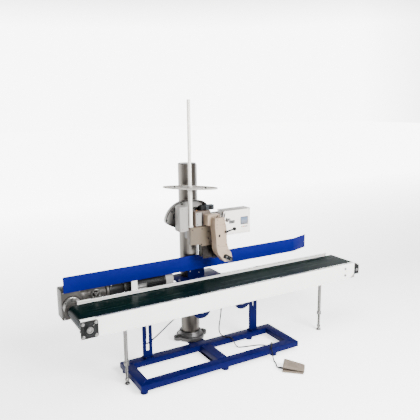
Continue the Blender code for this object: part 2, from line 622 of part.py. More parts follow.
def build_bed():
    """Rear half of the head: casing, cover, throat plate, feed dog and looper."""
    casing = box("bed_casing", (-0.073, -0.1685, 0.657), (0.066, -0.124, 0.790), "beige_enamel", bevel=0.003)
    join(casing, box("looper_case", (0.004, -0.1685, 0.598), (0.142, -0.1265, 0.672)))
    cut(casing,
        box("bed_space", (-0.066, -0.180, 0.678), (0.059, -0.1305, 0.784)),
        box("looper_space", (0.010, -0.180, 0.580), (0.136, -0.1315, 0.650)),
        cylinder("looper_bore", "Z", (*LOOPER_AXIS, 0.0), 0.60, 0.70, 0.0048, sides=20))
    box("bed_cover", (-0.073, -0.1730, 0.667), (0.066, -0.1688, 0.790), "beige_enamel", bevel=0.001)
    needle_x, needle_z = NEEDLE_AXIS
    plate = box("throat_plate", (0.012, -0.1718, 0.586), (0.150, -0.1688, 0.6665), "zinc")
    cut(plate,
        cylinder("needle_hole", "Y", (needle_x, 0.0, needle_z), -0.18, -0.16, 0.0035, sides=16),
        box("feed_slot", (needle_x - 0.024, -0.18, FEED_DOG_Z[0] - 0.001),
            (needle_x + 0.024, -0.16, FEED_DOG_Z[1] + 0.001)))
    dog_low, dog_high = FEED_DOG_Z
    dog = box("feed_dog", (needle_x - 0.018, -0.1728, dog_low), (needle_x + 0.018, -0.160, dog_high),
              "dark_steel")
    join(dog, box("feed_arm", (needle_x - 0.006, -0.1625, dog_low), (needle_x + 0.006, -0.140, dog_high)))
    x, y = LOOPER_AXIS
    looper = cylinder("looper", "Z", (x, y, 0.0), 0.604, 0.736, 0.0045, "dark_steel", sides=16)
    join(looper,
         box("looper_arm", (x - 0.004, y - 0.005, 0.604), (x + 0.055, y + 0.005, 0.616)),
         box("looper_blade", (x + 0.051, y - 0.009, 0.607), (x + 0.062, y - 0.001, 0.612)),
         box("looper_lever", (x - 0.022, y - 0.005, 0.722), (x + 0.004, y + 0.005, 0.732)))


def build_rear_housing():
    """Case of the main shaft, above the bed, with a lug for the motor."""
    case = box("rear_housing", (-0.035, -0.165, 0.7903), (0.075, -0.112, 0.885), "beige_enamel", bevel=0.006)
    join(case, box("motor_lug", (-0.0865, -0.1300, 0.795), (-0.030, -0.114, 0.815)))
    x, z = MAIN_AXIS
    cut(case,
        box("housing_space", (-0.028, -0.158, 0.780), (0.068, -0.119, 0.878)),
        cylinder("main_bore", "Y", (x, 0.0, z), -0.150, -0.10, 0.0074, sides=20))


def build_arm():
    """Front half of the head: a tall casting that carries the needle bar, with a bridge over the slot."""
    outline = [(0.048, 0.852), (0.044, 0.800), (0.052, 0.715), (0.054, 0.660), (0.062, 0.632), (0.110, 0.574),
               (0.158, 0.574), (0.162, 0.600), (0.156, 0.628), (0.138, 0.655), (0.130, 0.690), (0.126, 0.770),
               (0.116, 0.852)]
    casting = prism("arm_casting", "XZ", [outline], ARM_Y[0], ARM_Y[1], "beige_enamel", bevel=0.003)
    join(casting, box("arm_bridge", (0.024, -0.215, 0.800), (0.112, -0.1653, 0.866), bevel=0.004))
    cut(casting,
        cylinder("needle_bore", "Y", (NEEDLE_AXIS[0], 0.0, NEEDLE_AXIS[1]), -0.30, -0.20, 0.0053, sides=20),
        cylinder("presser_bore", "Y", (PRESSER_AXIS[0], 0.0, PRESSER_AXIS[1]), -0.30, -0.20, 0.0043,
                 sides=20))


def build_needle_and_presser():
    x, z = NEEDLE_AXIS
    turned("needle_bar", "Y", (x, 0.0, z),
           [(-0.178, 0.0006), (-0.184, 0.0012), (-0.200, 0.0012), (-0.200, 0.005), (-0.292, 0.005)],
           "dark_steel", sides=20)
    x, z = PRESSER_AXIS
    foot = cylinder("presser_foot", "Y", (x, 0.0, z), -0.290, -0.174, 0.004, "black_iron", sides=16)
    join(foot, box("presser_sole", (0.076, -0.1762, 0.579), (0.168, -0.1722, 0.605)))
    build_presser_lever()
    y, z = TENSION_AXIS
    turned("tension_knob", "X", (0.0, y, z),
           [(0.1550, 0.009), (0.1430, 0.010), (0.1430, 0.006), (0.1400, 0.006), (0.1400, 0.013),
            (0.1300, 0.013),
            (0.1300, 0.004), (0.1193, 0.004)], "dark_steel", sides=20)


def build_presser_lever():
    """Bar from a pivot on the arm's front to a knob, rising a little towards the knob."""
    x, y, z = LEVER_PIVOT
    end_x, end_z = LEVER_KNOB
    run = math.hypot(end_x - x, end_z - z)
    lift = LEVER_HALF_WIDTH * (end_x - x) / run
    lean = LEVER_HALF_WIDTH * (end_z - z) / run
    outline = [(x + lean, z - lift), (end_x + lean, end_z - lift),
               (end_x - lean, end_z + lift), (x - lean, z + lift)]
    lever = prism("presser_lever", "XZ", [outline], y - 0.0023, y + 0.0023, "black_iron", origin=(x, z))
    join(lever, cylinder("lever_boss", "Y", LEVER_PIVOT, -0.0075, 0.0023, 0.009, sides=20),
         cylinder("lever_knob", "Y", (end_x, y, end_z), -0.0105, 0.0105, 0.0115, sides=20))


def pulley(name, axis, radius, far, near, shaft, finish):
    """A grooved pulley on its shaft, which runs from far to near along Y."""
    x, z = axis
    groove_far, groove_near = BELT_PLANE[1] + 0.001, BELT_PLANE[0] - 0.001
    steps = [(far, shaft), (groove_far + 0.005, shaft), (groove_far + 0.005, radius), (groove_far, radius),
             (groove_far, radius - GROOVE_DEPTH), (groove_near, radius - GROOVE_DEPTH), (groove_near, radius),
             (groove_near - 0.005, radius), (groove_near - 0.005, shaft), (near, shaft)]
    turned(name, "Y", (x, 0.0, z), steps, finish, sides=24)


def build_head_drive():
    low = MOTOR_AXIS[1] - 0.075
    box("sewing_motor", (-0.152, -0.185, low), (-0.087, -0.112, low + 0.151), "light_grey", bevel=0.004)
    pulley("motor_pulley", MOTOR_AXIS, MOTOR_PULLEY_RADIUS, -0.084, -0.1114, 0.005, "dark_steel")
    pulley("head_pulley", MAIN_AXIS, HEAD_PULLEY_RADIUS, -0.084, -0.146, 0.007, "cast_aluminium")
    inner_motor = MOTOR_PULLEY_RADIUS - GROOVE_DEPTH + 3 * GAP
    inner_head = HEAD_PULLEY_RADIUS - GROOVE_DEPTH + 3 * GAP
    prism("drive_belt", "XZ",
          [loop_round(MOTOR_AXIS, MAIN_AXIS, inner_motor + V_BELT_THICKNESS, inner_head + V_BELT_THICKNESS),
           loop_round(MOTOR_AXIS, MAIN_AXIS, inner_motor, inner_head)],
          BELT_PLANE[0], BELT_PLANE[1], "rubber")


def guard_outline(inset):
    """Two arcs over the pulleys, closed by a flat bottom."""
    left = GUARD_LEFT[:2]
    right = GUARD_RIGHT[:2]
    left_radius = GUARD_LEFT[2] - inset
    right_radius = GUARD_RIGHT[2] - inset
    run = math.hypot(right[0] - left[0], right[1] - left[1])
    slope = math.degrees(math.atan2(right[1] - left[1], right[0] - left[0]))
    lean = slope + math.degrees(math.acos((left_radius - right_radius) / run))
    floor = GUARD_FLOOR + inset
    start = 180 + math.degrees(math.asin((left[1] - floor) / left_radius))
    points = arc(left, left_radius, start, lean, 20) + arc(right, right_radius, lean, 0, 10)
    return points + [(right[0] + right_radius, floor)]


def build_guard():
    guard = prism("belt_guard", "XZ", [guard_outline(0.0)], GUARD_Y[0], GUARD_Y[1], "light_grey")
    cut(guard, prism("guard_space", "XZ", [guard_outline(GUARD_SHEET)], GUARD_Y[0] - 0.01,
                     GUARD_Y[1] - GUARD_SHEET))


def build_thread_tray(x, y):
    """Oval tray for two thread cones, clamped on the rod, with a low rim."""
    sheet = 0.002
    tray = prism("thread_tray", "XY", [oval(x, y, TRAY_HALF)], TRAY_Z - sheet, TRAY_Z + 0.006, "clear_tray")
    hollow = oval(x, y, [half - sheet for half in TRAY_HALF])
    cut(tray, prism("tray_hollow", "XY", [hollow], TRAY_Z, TRAY_Z + 0.02))
    join(tray, cylinder("tray_hub", "Z", (x, y, TRAY_Z), -0.014, 0.012, 0.018, sides=24))
    cut(tray, cylinder("tray_bore", "Z", (x, y, TRAY_Z), -0.05, 0.05, 0.0108, sides=24))


def oval(x, y, halves, count=32):
    """An ellipse about (x, y) with its long axis turned as the tray stands."""
    points = []
    for i in range(count):
        angle = 2 * math.pi * i / count
        along = halves[0] * math.cos(angle)
        across = halves[1] * math.sin(angle)
        points.append((x + along * math.cos(TRAY_TURN) - across * math.sin(TRAY_TURN),
                       y + along * math.sin(TRAY_TURN) + across * math.cos(TRAY_TURN)))
    return points


def build_head_fittings():
    box("control_box", (0.207, -0.100, 0.690), (0.412, -0.020, 0.852), "white_paint", bevel=0.003)
    x, y = THREAD_ROD
    base = 0.790 + GAP
    turned("thread_rod", "Z", (x, y, 0.0),
           [(THREAD_ROD_TOP, 0.0105), (base + 0.010, 0.0105), (base + 0.010, 0.015), (base, 0.015)],
           "white_paint", sides=24)
    build_thread_tray(x, y)
    case = box("switch_box", (0.045, -0.155, 0.8853), (0.105, -0.120, 0.916), "dark_steel", bevel=0.003)
    cut(case, cylinder("button_well", "Y", (0.078, -0.155, 0.901), -0.01, 0.008, 0.0083, sides=20))
    cylinder("switch_button", "Y", (0.078, -0.155, 0.901), -0.006, 0.003, 0.0078, "black_iron", sides=20)


# ---------------------------------------------------------------- foot switch and cables

def pedal_prism(name, outline, half_width, finish=None):
    """A side outline (distance from the hinge end, height) made across the pedal's width."""
    solid = prism(name, "XZ", [outline], -half_width, half_width, finish)
    solid.location = (*PEDAL_HEEL, 0.0)
    solid.rotation_euler = (math.pi / 2, 0.0, PEDAL_TURN)
    return solid


def build_pedal():
    length = PEDAL_LENGTH
    base = pedal_prism("pedal_base", [(0.0, 0.0), (length, 0.0), (length, 0.013), (0.0, 0.013)],
                       PEDAL_HALF_WIDTH, "pedal_beige")
    bar = [(-0.006, 0.0), (0.006, 0.0), (0.006, 0.0165), (-0.006, 0.0165)]
    join(base, pedal_prism("pedal_hinge_bar", bar, PEDAL_HALF_WIDTH - 0.006))
    top = [(-0.004, 0.0170), (length - 0.003, 0.0285), (length - 0.003, 0.047), (length - 0.010, 0.050),
           (0.010, 0.0285), (-0.002, 0.0250)]
    solid = pedal_prism("pedal_treadle", top, PEDAL_HALF_WIDTH - 0.002, "pedal_beige")
    lift = 0.0170
    for corner in solid.data.vertices:
        corner.co.y -= lift
    solid.location.z = lift


def build_cables():
    cable("pedal_cable", PEDAL_CABLE, PEDAL_CABLE_RADIUS, "rubber", 0.0175)
    cable("power_cable", POWER_CABLE, POWER_CABLE_RADIUS, "rubber", 0.0200)


for leftover in list(bpy.data.objects):
    bpy.data.objects.remove(leftover)
MODEL = new_collection("bag_closing_machine")
CUTTERS = new_collection("cutters")

build_base_frame()
build_sole_plate()
build_column()
build_posts()
beam("beam_front", BEAM_FRONT, 1, BEAM_X[0])
beam("beam_rear", BEAM_REAR, -1, REAR_BEAM_START)
build_belt()
build_rollers()
build_drive_bearing()
build_takeups()
build_conveyor_drive()
build_guide()
build_legs()
build_junction_box()
build_carriage()
build_lift_pinion()
build_bed()
build_rear_housing()
build_arm()
build_needle_and_presser()
build_head_drive()
build_guard()
build_head_fittings()
build_pedal()
build_cables()
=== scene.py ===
"""Looks of the pedestal bag closing sewing machine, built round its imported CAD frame.

Metres, +Z up. The origin is on the column's axis at the floor, +X runs along the
conveyor to its tail end, and the operator stands on the -Y side.
"""

import math

import bmesh
import bpy
from mathutils import Matrix, Vector


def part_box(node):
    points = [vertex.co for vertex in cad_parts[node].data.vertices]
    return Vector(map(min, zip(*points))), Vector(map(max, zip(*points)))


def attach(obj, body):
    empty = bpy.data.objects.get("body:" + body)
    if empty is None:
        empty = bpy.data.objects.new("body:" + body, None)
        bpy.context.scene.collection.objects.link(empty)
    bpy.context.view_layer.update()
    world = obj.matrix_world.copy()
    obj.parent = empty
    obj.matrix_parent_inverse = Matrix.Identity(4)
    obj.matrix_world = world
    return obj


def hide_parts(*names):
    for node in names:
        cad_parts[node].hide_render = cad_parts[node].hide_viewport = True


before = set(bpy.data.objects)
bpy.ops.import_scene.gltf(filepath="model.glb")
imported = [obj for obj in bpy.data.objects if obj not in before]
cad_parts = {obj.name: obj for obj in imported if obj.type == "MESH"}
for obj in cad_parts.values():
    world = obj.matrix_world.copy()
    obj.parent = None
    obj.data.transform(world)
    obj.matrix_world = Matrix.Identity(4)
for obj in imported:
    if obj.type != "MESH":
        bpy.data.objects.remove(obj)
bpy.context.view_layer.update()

X = Vector((1.0, 0.0, 0.0))
Y = Vector((0.0, 1.0, 0.0))
Z = Vector((0.0, 0.0, 1.0))

# Camera: where it stands, its heading from +Y towards +X, its dip, its tilt and its lens
CAMERA_PLACE = (-1.5296, -2.9455, 1.5322)
CAMERA_HEADING = 0.5217
CAMERA_DIP = 0.1986
CAMERA_TILT = -0.012
CAMERA_LENS = 45.55

# Light from the white backdrop, the room's share of it, and the floor's own light near and far
BACKDROP_LEVEL = 8.0
ROOM_SHARE = (0.025, 0.025, 0.0255)
FLOOR_LEVELS = (1.6, 8.0)


# ---------------------------------------------------------------- camera, light and floor

def add_camera():
    forward = Vector((math.sin(CAMERA_HEADING) * math.cos(CAMERA_DIP),
                      math.cos(CAMERA_HEADING) * math.cos(CAMERA_DIP),
                      -math.sin(CAMERA_DIP)))
    level = Vector((math.cos(CAMERA_HEADING), -math.sin(CAMERA_HEADING), 0.0))
    upright = level.cross(forward)
    right = level * math.cos(CAMERA_TILT) + upright * math.sin(CAMERA_TILT)
    up = upright * math.cos(CAMERA_TILT) - level * math.sin(CAMERA_TILT)
    data = bpy.data.cameras.new("camera")
    data.lens = CAMERA_LENS
    data.sensor_width = 36.0
    camera = bpy.data.objects.new("camera", data)
    turn = Matrix((right, up, -forward)).transposed().to_4x4()
    camera.matrix_world = Matrix.Translation(CAMERA_PLACE) @ turn
    bpy.context.scene.collection.objects.link(camera)
    bpy.context.scene.camera = camera


def add_light(name, place, target, size, power, colour=(1.0, 1.0, 1.0)):
    data = bpy.data.lights.new(name, "AREA")
    data.shape = "RECTANGLE"
    data.size, data.size_y = size
    data.energy = power
    data.color = colour
    light = bpy.data.objects.new(name, data)
    aim = (Vector(target) - Vector(place)).to_track_quat("-Z", "Y")
    light.matrix_world = Matrix.Translation(place) @ aim.to_matrix().to_4x4()
    bpy.context.scene.collection.objects.link(light)


def add_world():
    """A white backdrop low behind the object, and a dim room around it and above."""
    world = bpy.data.worlds.new("studio")
    bpy.context.scene.world = world
    world.use_nodes = True
    nodes = world.node_tree.nodes
    links = world.node_tree.links
    nodes.clear()
    place = nodes.new("ShaderNodeTexCoord")
    split = nodes.new("ShaderNodeSeparateXYZ")
    links.new(place.outputs["Generated"], split.inputs[0])
    behind = spread(nodes, links, split.outputs["Y"], 0.0, 1.0, 0.45, 0.7)
    low = spread(nodes, links, split.outputs["Z"], 1.0, 0.0, 0.13, 0.24)
    share = nodes.new("ShaderNodeMath")
    share.operation = "MULTIPLY"
    links.new(behind, share.inputs[0])
    links.new(low, share.inputs[1])
    back = nodes.new("ShaderNodeBackground")
    back.inputs["Strength"].default_value = BACKDROP_LEVEL
    links.new(mixed(nodes, links, share.outputs[0], ROOM_SHARE, (1.0, 1.0, 1.0)), back.inputs["Color"])
    out = nodes.new("ShaderNodeOutputWorld")
    links.new(back.outputs[0], out.inputs[0])


def add_floor():
    form = bmesh.new()
    bmesh.ops.create_grid(form, x_segments=2, y_segments=2, size=30.0)
    mesh = bpy.data.meshes.new("floor")
    form.to_mesh(mesh)
    form.free()
    floor = bpy.data.objects.new("floor", mesh)
    floor.location.z = -0.0005
    material = bpy.data.materials.new("floor_paint")
    material.use_nodes = True
    nodes = material.node_tree.nodes
    links = material.node_tree.links
    shader = nodes["Principled BSDF"]
    shader.inputs["Base Color"].default_value = (0.93, 0.93, 0.93, 1.0)
    shader.inputs["Roughness"].default_value = 0.85
    shader.inputs["Specular IOR Level"].default_value = 0.1
    shader.inputs["Emission Color"].default_value = (1.0, 1.0, 1.0, 1.0)
    place = nodes.new("ShaderNodeTexCoord")
    split = nodes.new("ShaderNodeSeparateXYZ")
    links.new(place.outputs["Object"], split.inputs[0])
    links.new(spread(nodes, links, split.outputs["Y"], *FLOOR_LEVELS, 0.4, 5.0),
              shader.inputs["Emission Strength"])
    mesh.materials.append(material)
    bpy.context.scene.collection.objects.link(floor)


# ---------------------------------------------------------------- materials

MATERIALS = {}


def shader_tree(name):
    """A new material's nodes, its links, its shader and its object coordinates."""
    material = bpy.data.materials.new(name)
    material.use_nodes = True
    nodes = material.node_tree.nodes
    links = material.node_tree.links
    place = nodes.new("ShaderNodeTexCoord")
    MATERIALS[name] = material
    return nodes, links, nodes["Principled BSDF"], place.outputs["Object"]


def stretched(nodes, links, place, scale):
    """The object coordinates, scaled on each axis."""
    mapping = nodes.new("ShaderNodeMapping")
    mapping.inputs["Scale"].default_value = scale
    links.new(place, mapping.inputs["Vector"])
    return mapping.outputs[0]


def noise(nodes, links, place, scale, detail=3.0, roughness=0.5):
    texture = nodes.new("ShaderNodeTexNoise")
    texture.inputs["Scale"].default_value = scale
    texture.inputs["Detail"].default_value = detail
    texture.inputs["Roughness"].default_value = roughness
    links.new(place, texture.inputs["Vector"])
    return texture.outputs["Fac"]


def spread(nodes, links, value, low, high, start=0.3, end=0.7):
    """A value that runs from low to high while its input runs from start to end."""
    ranged = nodes.new("ShaderNodeMapRange")
    ranged.inputs["From Min"].default_value = start
    ranged.inputs["From Max"].default_value = end
    ranged.inputs["To Min"].default_value = low
    ranged.inputs["To Max"].default_value = high
    links.new(value, ranged.inputs["Value"])
    return ranged.outputs[0]


def mixed(nodes, links, share, first, second):
    """One colour or the other, by share."""
    mix = nodes.new("ShaderNodeMix")
    mix.data_type = "RGBA"
    links.new(share, mix.inputs[0])
    for socket, colour in ((mix.inputs[6], first), (mix.inputs[7], second)):
        if hasattr(colour, "is_linked"):
            links.new(colour, socket)
        else:
            socket.default_value = (*colour, 1.0)
    return mix.outputs[2]


def bumped(nodes, links, height, strength, distance, below=None):
    bump = nodes.new("ShaderNodeBump")
    bump.inputs["Strength"].default_value = strength
    bump.inputs["Distance"].default_value = distance
    links.new(height, bump.inputs["Height"])
    if below is not None:
        links.new(below, bump.inputs["Normal"])
    return bump.outputs[0]


def worn_edges(nodes, links, place, radius):
    """About 1 on a sharp edge's worn patches and 0 on the faces."""
    soft = nodes.new("ShaderNodeBevel")
    soft.samples = 4
    soft.inputs["Radius"].default_value = radius
    flat = nodes.new("ShaderNodeNewGeometry")
    match = nodes.new("ShaderNodeVectorMath")
    match.operation = "DOT_PRODUCT"
    links.new(soft.outputs[0], match.inputs[0])
    links.new(flat.outputs["Normal"], match.inputs[1])
    edge = spread(nodes, links, match.outputs["Value"], 1.0, 0.0, 0.86, 0.97)
    patch = spread(nodes, links, noise(nodes, links, place, 45.0, 5.0), 0.0, 1.0, 0.52, 0.66)
    both = nodes.new("ShaderNodeMath")
    both.operation = "MULTIPLY"
    links.new(edge, both.inputs[0])
    links.new(patch, both.inputs[1])
    return both.outputs[0]


def enamel(name, colour, roughness, coat=0.3, worn=None, peel=0.1, shade=0.86, gloss=0.4):
    """Sprayed paint: light orange peel, a little dust, and worn edges where a worn colour is given."""
    nodes, links, shader, place = shader_tree(name)
    dark = [channel * shade for channel in colour]
    base = mixed(nodes, links, spread(nodes, links, noise(nodes, links, place, 3.0, 4.0), 0.0, 1.0), colour,
                 dark)
    if worn is not None:
        base = mixed(nodes, links, worn_edges(nodes, links, place, 0.0016), base, worn)
    links.new(base, shader.inputs["Base Color"])
    smudge = noise(nodes, links, place, 14.0, 5.0, 0.6)
    links.new(spread(nodes, links, smudge, roughness * 0.8, roughness * 1.35), shader.inputs["Roughness"])
    shader.inputs["Specular IOR Level"].default_value = gloss
    shader.inputs["Coat Weight"].default_value = coat
    shader.inputs["Coat Roughness"].default_value = 0.12
    peel_height = noise(nodes, links, place, 420.0, 2.0)
    links.new(bumped(nodes, links, peel_height, peel, 0.0006), shader.inputs["Normal"])


def ground_metal(name, colour, roughness, grain, metallic=1.0, depth=0.15, tone=0.75):
    """Metal with a directional grain, which is the coordinate scale across each axis."""
    nodes, links, shader, place = shader_tree(name)
    streak = noise(nodes, links, stretched(nodes, links, place, grain), 1.0, 4.0, 0.6)
    dark = [channel * tone for channel in colour]
    links.new(mixed(nodes, links, spread(nodes, links, streak, 0.0, 1.0), colour, dark),
              shader.inputs["Base Color"])
    links.new(spread(nodes, links, streak, roughness * 0.75, roughness * 1.4), shader.inputs["Roughness"])
    shader.inputs["Metallic"].default_value = metallic
    links.new(bumped(nodes, links, streak, depth, 0.0003), shader.inputs["Normal"])


def cast_metal(name, colour, roughness, metallic, grain=260.0, depth=0.5, tone=0.7):
    """Sand-cast metal: a fine pebbled skin with darker, oilier hollows."""
    nodes, links, shader, place = shader_tree(name)
    pebble = noise(nodes, links, place, grain, 4.0, 0.65)
    stain = noise(nodes, links, place, 11.0, 5.0, 0.6)
    dark = [channel * tone for channel in colour]
    base = mixed(nodes, links, spread(nodes, links, stain, 0.0, 1.0), colour, dark)
    bright = [min(1.0, channel * 1.5 + 0.03) for channel in colour]
    base = mixed(nodes, links, worn_edges(nodes, links, place, 0.0014), base, bright)
    links.new(base, shader.inputs["Base Color"])
    links.new(spread(nodes, links, stain, roughness * 0.8, roughness * 1.25), shader.inputs["Roughness"])
    shader.inputs["Metallic"].default_value = metallic
    shader.inputs["Specular IOR Level"].default_value = 0.15
    links.new(bumped(nodes, links, pebble, depth, 0.0006), shader.inputs["Normal"])


def moulded(name, colour, roughness, grain, depth=0.25, dust=None, gloss=0.3):
    """Moulded plastic or rubber with a fine leathery grain and a little dust."""
    nodes, links, shader, place = shader_tree(name)
    cell = nodes.new("ShaderNodeTexVoronoi")
    cell.inputs["Scale"].default_value = grain
    links.new(place, cell.inputs["Vector"])
    patch = noise(nodes, links, place, 22.0, 5.0, 0.65)
    dusty = dust or [channel * 0.85 for channel in colour]
    links.new(mixed(nodes, links, spread(nodes, links, patch, 0.0, 0.6), colour, dusty),
              shader.inputs["Base Color"])
    links.new(spread(nodes, links, patch, roughness * 0.85, roughness * 1.2), shader.inputs["Roughness"])
    shader.inputs["Specular IOR Level"].default_value = gloss
    links.new(bumped(nodes, links, cell.outputs["Distance"], depth, 0.0003), shader.inputs["Normal"])


def belt_cover():
    """Smooth belt cover: a glossy green skin over a faint weave, with long rub marks."""
    nodes, links, shader, place = shader_tree("belt_green")
    rubbed = noise(nodes, links, stretched(nodes, links, place, (2.0, 60.0, 2.0)), 1.0, 4.0, 0.6)
    cloud = noise(nodes, links, place, 5.0, 3.0)
    base = mixed(nodes, links, spread(nodes, links, cloud, 0.0, 1.0), (0.0016, 0.0065, 0.0052),
                 (0.0013, 0.0045, 0.0052))
    links.new(base, shader.inputs["Base Color"])
    links.new(spread(nodes, links, rubbed, 0.16, 0.3), shader.inputs["Roughness"])
    shader.inputs["Specular IOR Level"].default_value = 0.012
    weave = nodes.new("ShaderNodeTexBrick")
    weave.inputs["Scale"].default_value = 420.0
    weave.inputs["Mortar Size"].default_value = 0.08
    links.new(place, weave.inputs["Vector"])
    links.new(bumped(nodes, links, weave.outputs["Fac"], 0.03, 0.0002), shader.inputs["Normal"])


def belt_fabric():
    """Woven underside of the belt."""
    nodes, links, shader, place = shader_tree("belt_fabric")
    weave = nodes.new("ShaderNodeTexBrick")
    weave.inputs["Scale"].default_value = 300.0
    weave.inputs["Color1"].default_value = (0.3, 0.3, 0.27, 1.0)
    weave.inputs["Color2"].default_value = (0.22, 0.22, 0.2, 1.0)
    weave.inputs["Mortar"].default_value = (0.08, 0.08, 0.08, 1.0)
    links.new(place, weave.inputs["Vector"])
    links.new(weave.outputs["Color"], shader.inputs["Base Color"])
    shader.inputs["Roughness"].default_value = 0.85
    links.new(bumped(nodes, links, weave.outputs["Fac"], 0.5, 0.0004), shader.inputs["Normal"])


def polished_tube():
    """Bright drawn tube: fine lengthwise lines, long pale and dark bands of painted reflection, and a few
    smudges.
    """
    nodes, links, shader, place = shader_tree("column_steel")
    line = noise(nodes, links, stretched(nodes, links, place, (420.0, 420.0, 3.0)), 1.0, 3.0, 0.6)
    band = noise(nodes, links, stretched(nodes, links, place, (22.0, 22.0, 0.35)), 1.0, 2.0)
    # The long pale and dark bands mixed into the base colour are painted reflections.
    base = mixed(nodes, links, spread(nodes, links, band, 0.0, 1.0, 0.38, 0.62), (0.12, 0.11, 0.098),
                 (0.034, 0.029, 0.025))
    links.new(base, shader.inputs["Base Color"])
    smudge = noise(nodes, links, place, 16.0, 5.0, 0.65)
    links.new(spread(nodes, links, smudge, 0.3, 0.4), shader.inputs["Roughness"])
    shader.inputs["Metallic"].default_value = 1.0
    shader.inputs["Anisotropic"].default_value = 0.35
    links.new(bumped(nodes, links, line, 0.1, 0.0002), shader.inputs["Normal"])


def screen_glass():
    """Dark display under a clear window, brighter towards its top with a painted reflection."""
    nodes, links, shader, place = shader_tree("screen")
    split = nodes.new("ShaderNodeSeparateXYZ")
    links.new(place, split.inputs[0])
    low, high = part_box("control_box")
    painted_reflection_rise = spread(nodes, links, split.outputs["Z"], 0.0, 1.0, low.z + 0.06, high.z - 0.01)
    cloud = noise(nodes, links, place, 60.0, 2.0)
    dark = mixed(nodes, links, cloud, (0.01, 0.013, 0.022), (0.02, 0.024, 0.036))
    # The blend towards pale blue at the top is a painted reflection, mixed in by height.
    links.new(mixed(nodes, links, painted_reflection_rise, dark, (0.16, 0.24, 0.38)), shader.inputs["Base Color"])
    shader.inputs["Roughness"].default_value = 0.08
    shader.inputs["Coat Weight"].default_value = 1.0


def make_materials():
    # The first blue, on the frame rails and posts, is the guide's blue paint made darker: the extra darkness
    # is painted shade.
    enamel("painted_shade_blue", (0.0008, 0.0016, 0.036), 0.34, 0.0, (0.004, 0.014, 0.12), gloss=0.03)
    enamel("guide_blue", (0.0022, 0.0036, 0.085), 0.45, 0.0, (0.004, 0.018, 0.16), gloss=0.03)
    enamel("navy", (0.0006, 0.0014, 0.022), 0.35, 0.0, (0.003, 0.01, 0.08), gloss=0.03)
    enamel("white", (0.72, 0.7, 0.68), 0.36, 0.2, (0.5, 0.49, 0.48), shade=0.94)
    enamel("box_white", (0.66, 0.62, 0.585), 0.4, 0.15, (0.52, 0.49, 0.47), shade=0.94)
    enamel("rod_white", (0.58, 0.56, 0.52), 0.35, 0.2, shade=0.93)
    enamel("arm_beige", (0.225, 0.165, 0.115), 0.42, 0.05, (0.24, 0.19, 0.15), peel=0.16, shade=0.88,
           gloss=0.3)
    enamel("bed_beige", (0.085, 0.065, 0.045), 0.45, 0.0, (0.2, 0.16, 0.12), peel=0.16, shade=0.88, gloss=0.2)
    enamel("case_brown", (0.075, 0.055, 0.042), 0.42, 0.0, (0.2, 0.16, 0.13), peel=0.16, gloss=0.2)
    enamel("case_dark", (0.012, 0.009, 0.0065), 0.42, 0.0, (0.1, 0.08, 0.06), peel=0.16, gloss=0.1)
    enamel("light_grey", (0.2, 0.19, 0.18), 0.45, 0.05, (0.36, 0.35, 0.34), shade=0.9, gloss=0.2)
    enamel("guard_grey", (0.21, 0.2, 0.19), 0.32, 0.05, (0.1, 0.1, 0.1), shade=0.8, gloss=0.2)
    enamel("tray_paint", (0.26, 0.245, 0.225), 0.35, 0.1, (0.2, 0.19, 0.18), shade=0.9, gloss=0.2)
    enamel("black_paint", (0.0045, 0.0047, 0.005), 0.38, 0.0, (0.05, 0.05, 0.05), gloss=0.08)
    enamel("signal_red", (0.45, 0.02, 0.015), 0.3, 0.5)
    enamel("signal_green", (0.02, 0.3, 0.07), 0.3, 0.5)
    cast_metal("gear_grey", (0.05, 0.047, 0.044), 0.45, 0.6)
    cast_metal("foot_cast", (0.075, 0.072, 0.072), 0.42, 0.75)
    cast_metal("carriage_cast", (0.1, 0.1, 0.1), 0.42, 0.7)
    cast_metal("black_cast", (0.0045, 0.005, 0.005), 0.45, 0.2)
    ground_metal("zinc", (0.18, 0.176, 0.17), 0.3, (60.0, 60.0, 60.0))
    ground_metal("turned_steel", (0.15, 0.147, 0.143), 0.25, (30.0, 400.0, 30.0))
    ground_metal("leg_steel", (0.17, 0.165, 0.16), 0.28, (300.0, 300.0, 8.0), tone=0.45)
    ground_metal("bright_strip", (0.68, 0.69, 0.69), 0.24, (6.0, 500.0, 500.0))
    ground_metal("dark_steel", (0.018, 0.016, 0.015), 0.32, (120.0, 120.0, 120.0))
    ground_metal("bronze", (0.3, 0.17, 0.08), 0.35, (150.0, 150.0, 150.0))
    moulded("pedal_case", (0.115, 0.09, 0.068), 0.55, 900.0, dust=(0.1, 0.08, 0.06))
    moulded("black_rubber", (0.005, 0.005, 0.005), 0.55, 700.0, dust=(0.012, 0.012, 0.011), gloss=0.1)
    moulded("cable_rubber", (0.003, 0.003, 0.003), 0.42, 1200.0, depth=0.1, dust=(0.008, 0.008, 0.007),
            gloss=0.05)
    moulded("black_plastic", (0.004, 0.004, 0.0045), 0.35, 900.0, gloss=0.1)
    moulded("grey_plastic", (0.02, 0.023, 0.026), 0.45, 900.0, gloss=0.1)
    belt_cover()
    belt_fabric()
    polished_tube()
    screen_glass()


# ---------------------------------------------------------------- mesh tools

def rounded(form, width, segments=2, angle=30.0):
    """Round every edge that turns by more than the angle."""
    sharp = [edge for edge in form.edges
             if len(edge.link_faces) == 2 and edge.calc_face_angle(0.0) > math.radians(angle)]
    if width and sharp:
        bmesh.ops.bevel(form, geom=sharp, offset=width, offset_type="OFFSET", segments=segments, profile=0.6,
                        affect="EDGES", clamp_overlap=True)
    return form


def block(low, high, width=0.0012, segments=2):
    """A box between two corners, with rounded edges."""
    low = Vector(low)
    high = Vector(high)
    form = bmesh.new()
    bmesh.ops.create_cube(form, size=1.0)
    bmesh.ops.scale(form, vec=high - low, verts=form.verts)
    bmesh.ops.translate(form, vec=(low + high) / 2, verts=form.verts)
    return rounded(form, width, segments)


def aimed(form, place, direction, roll=0.0):
    """Turn a form made along +Z to point along a direction, at a place."""
    turn = Vector(direction).to_track_quat("Z", "Y").to_matrix().to_4x4()
    bmesh.ops.transform(form, matrix=Matrix.Translation(place) @ turn @ Matrix.Rotation(roll, 4, "Z"),
                        verts=form.verts)
    return form


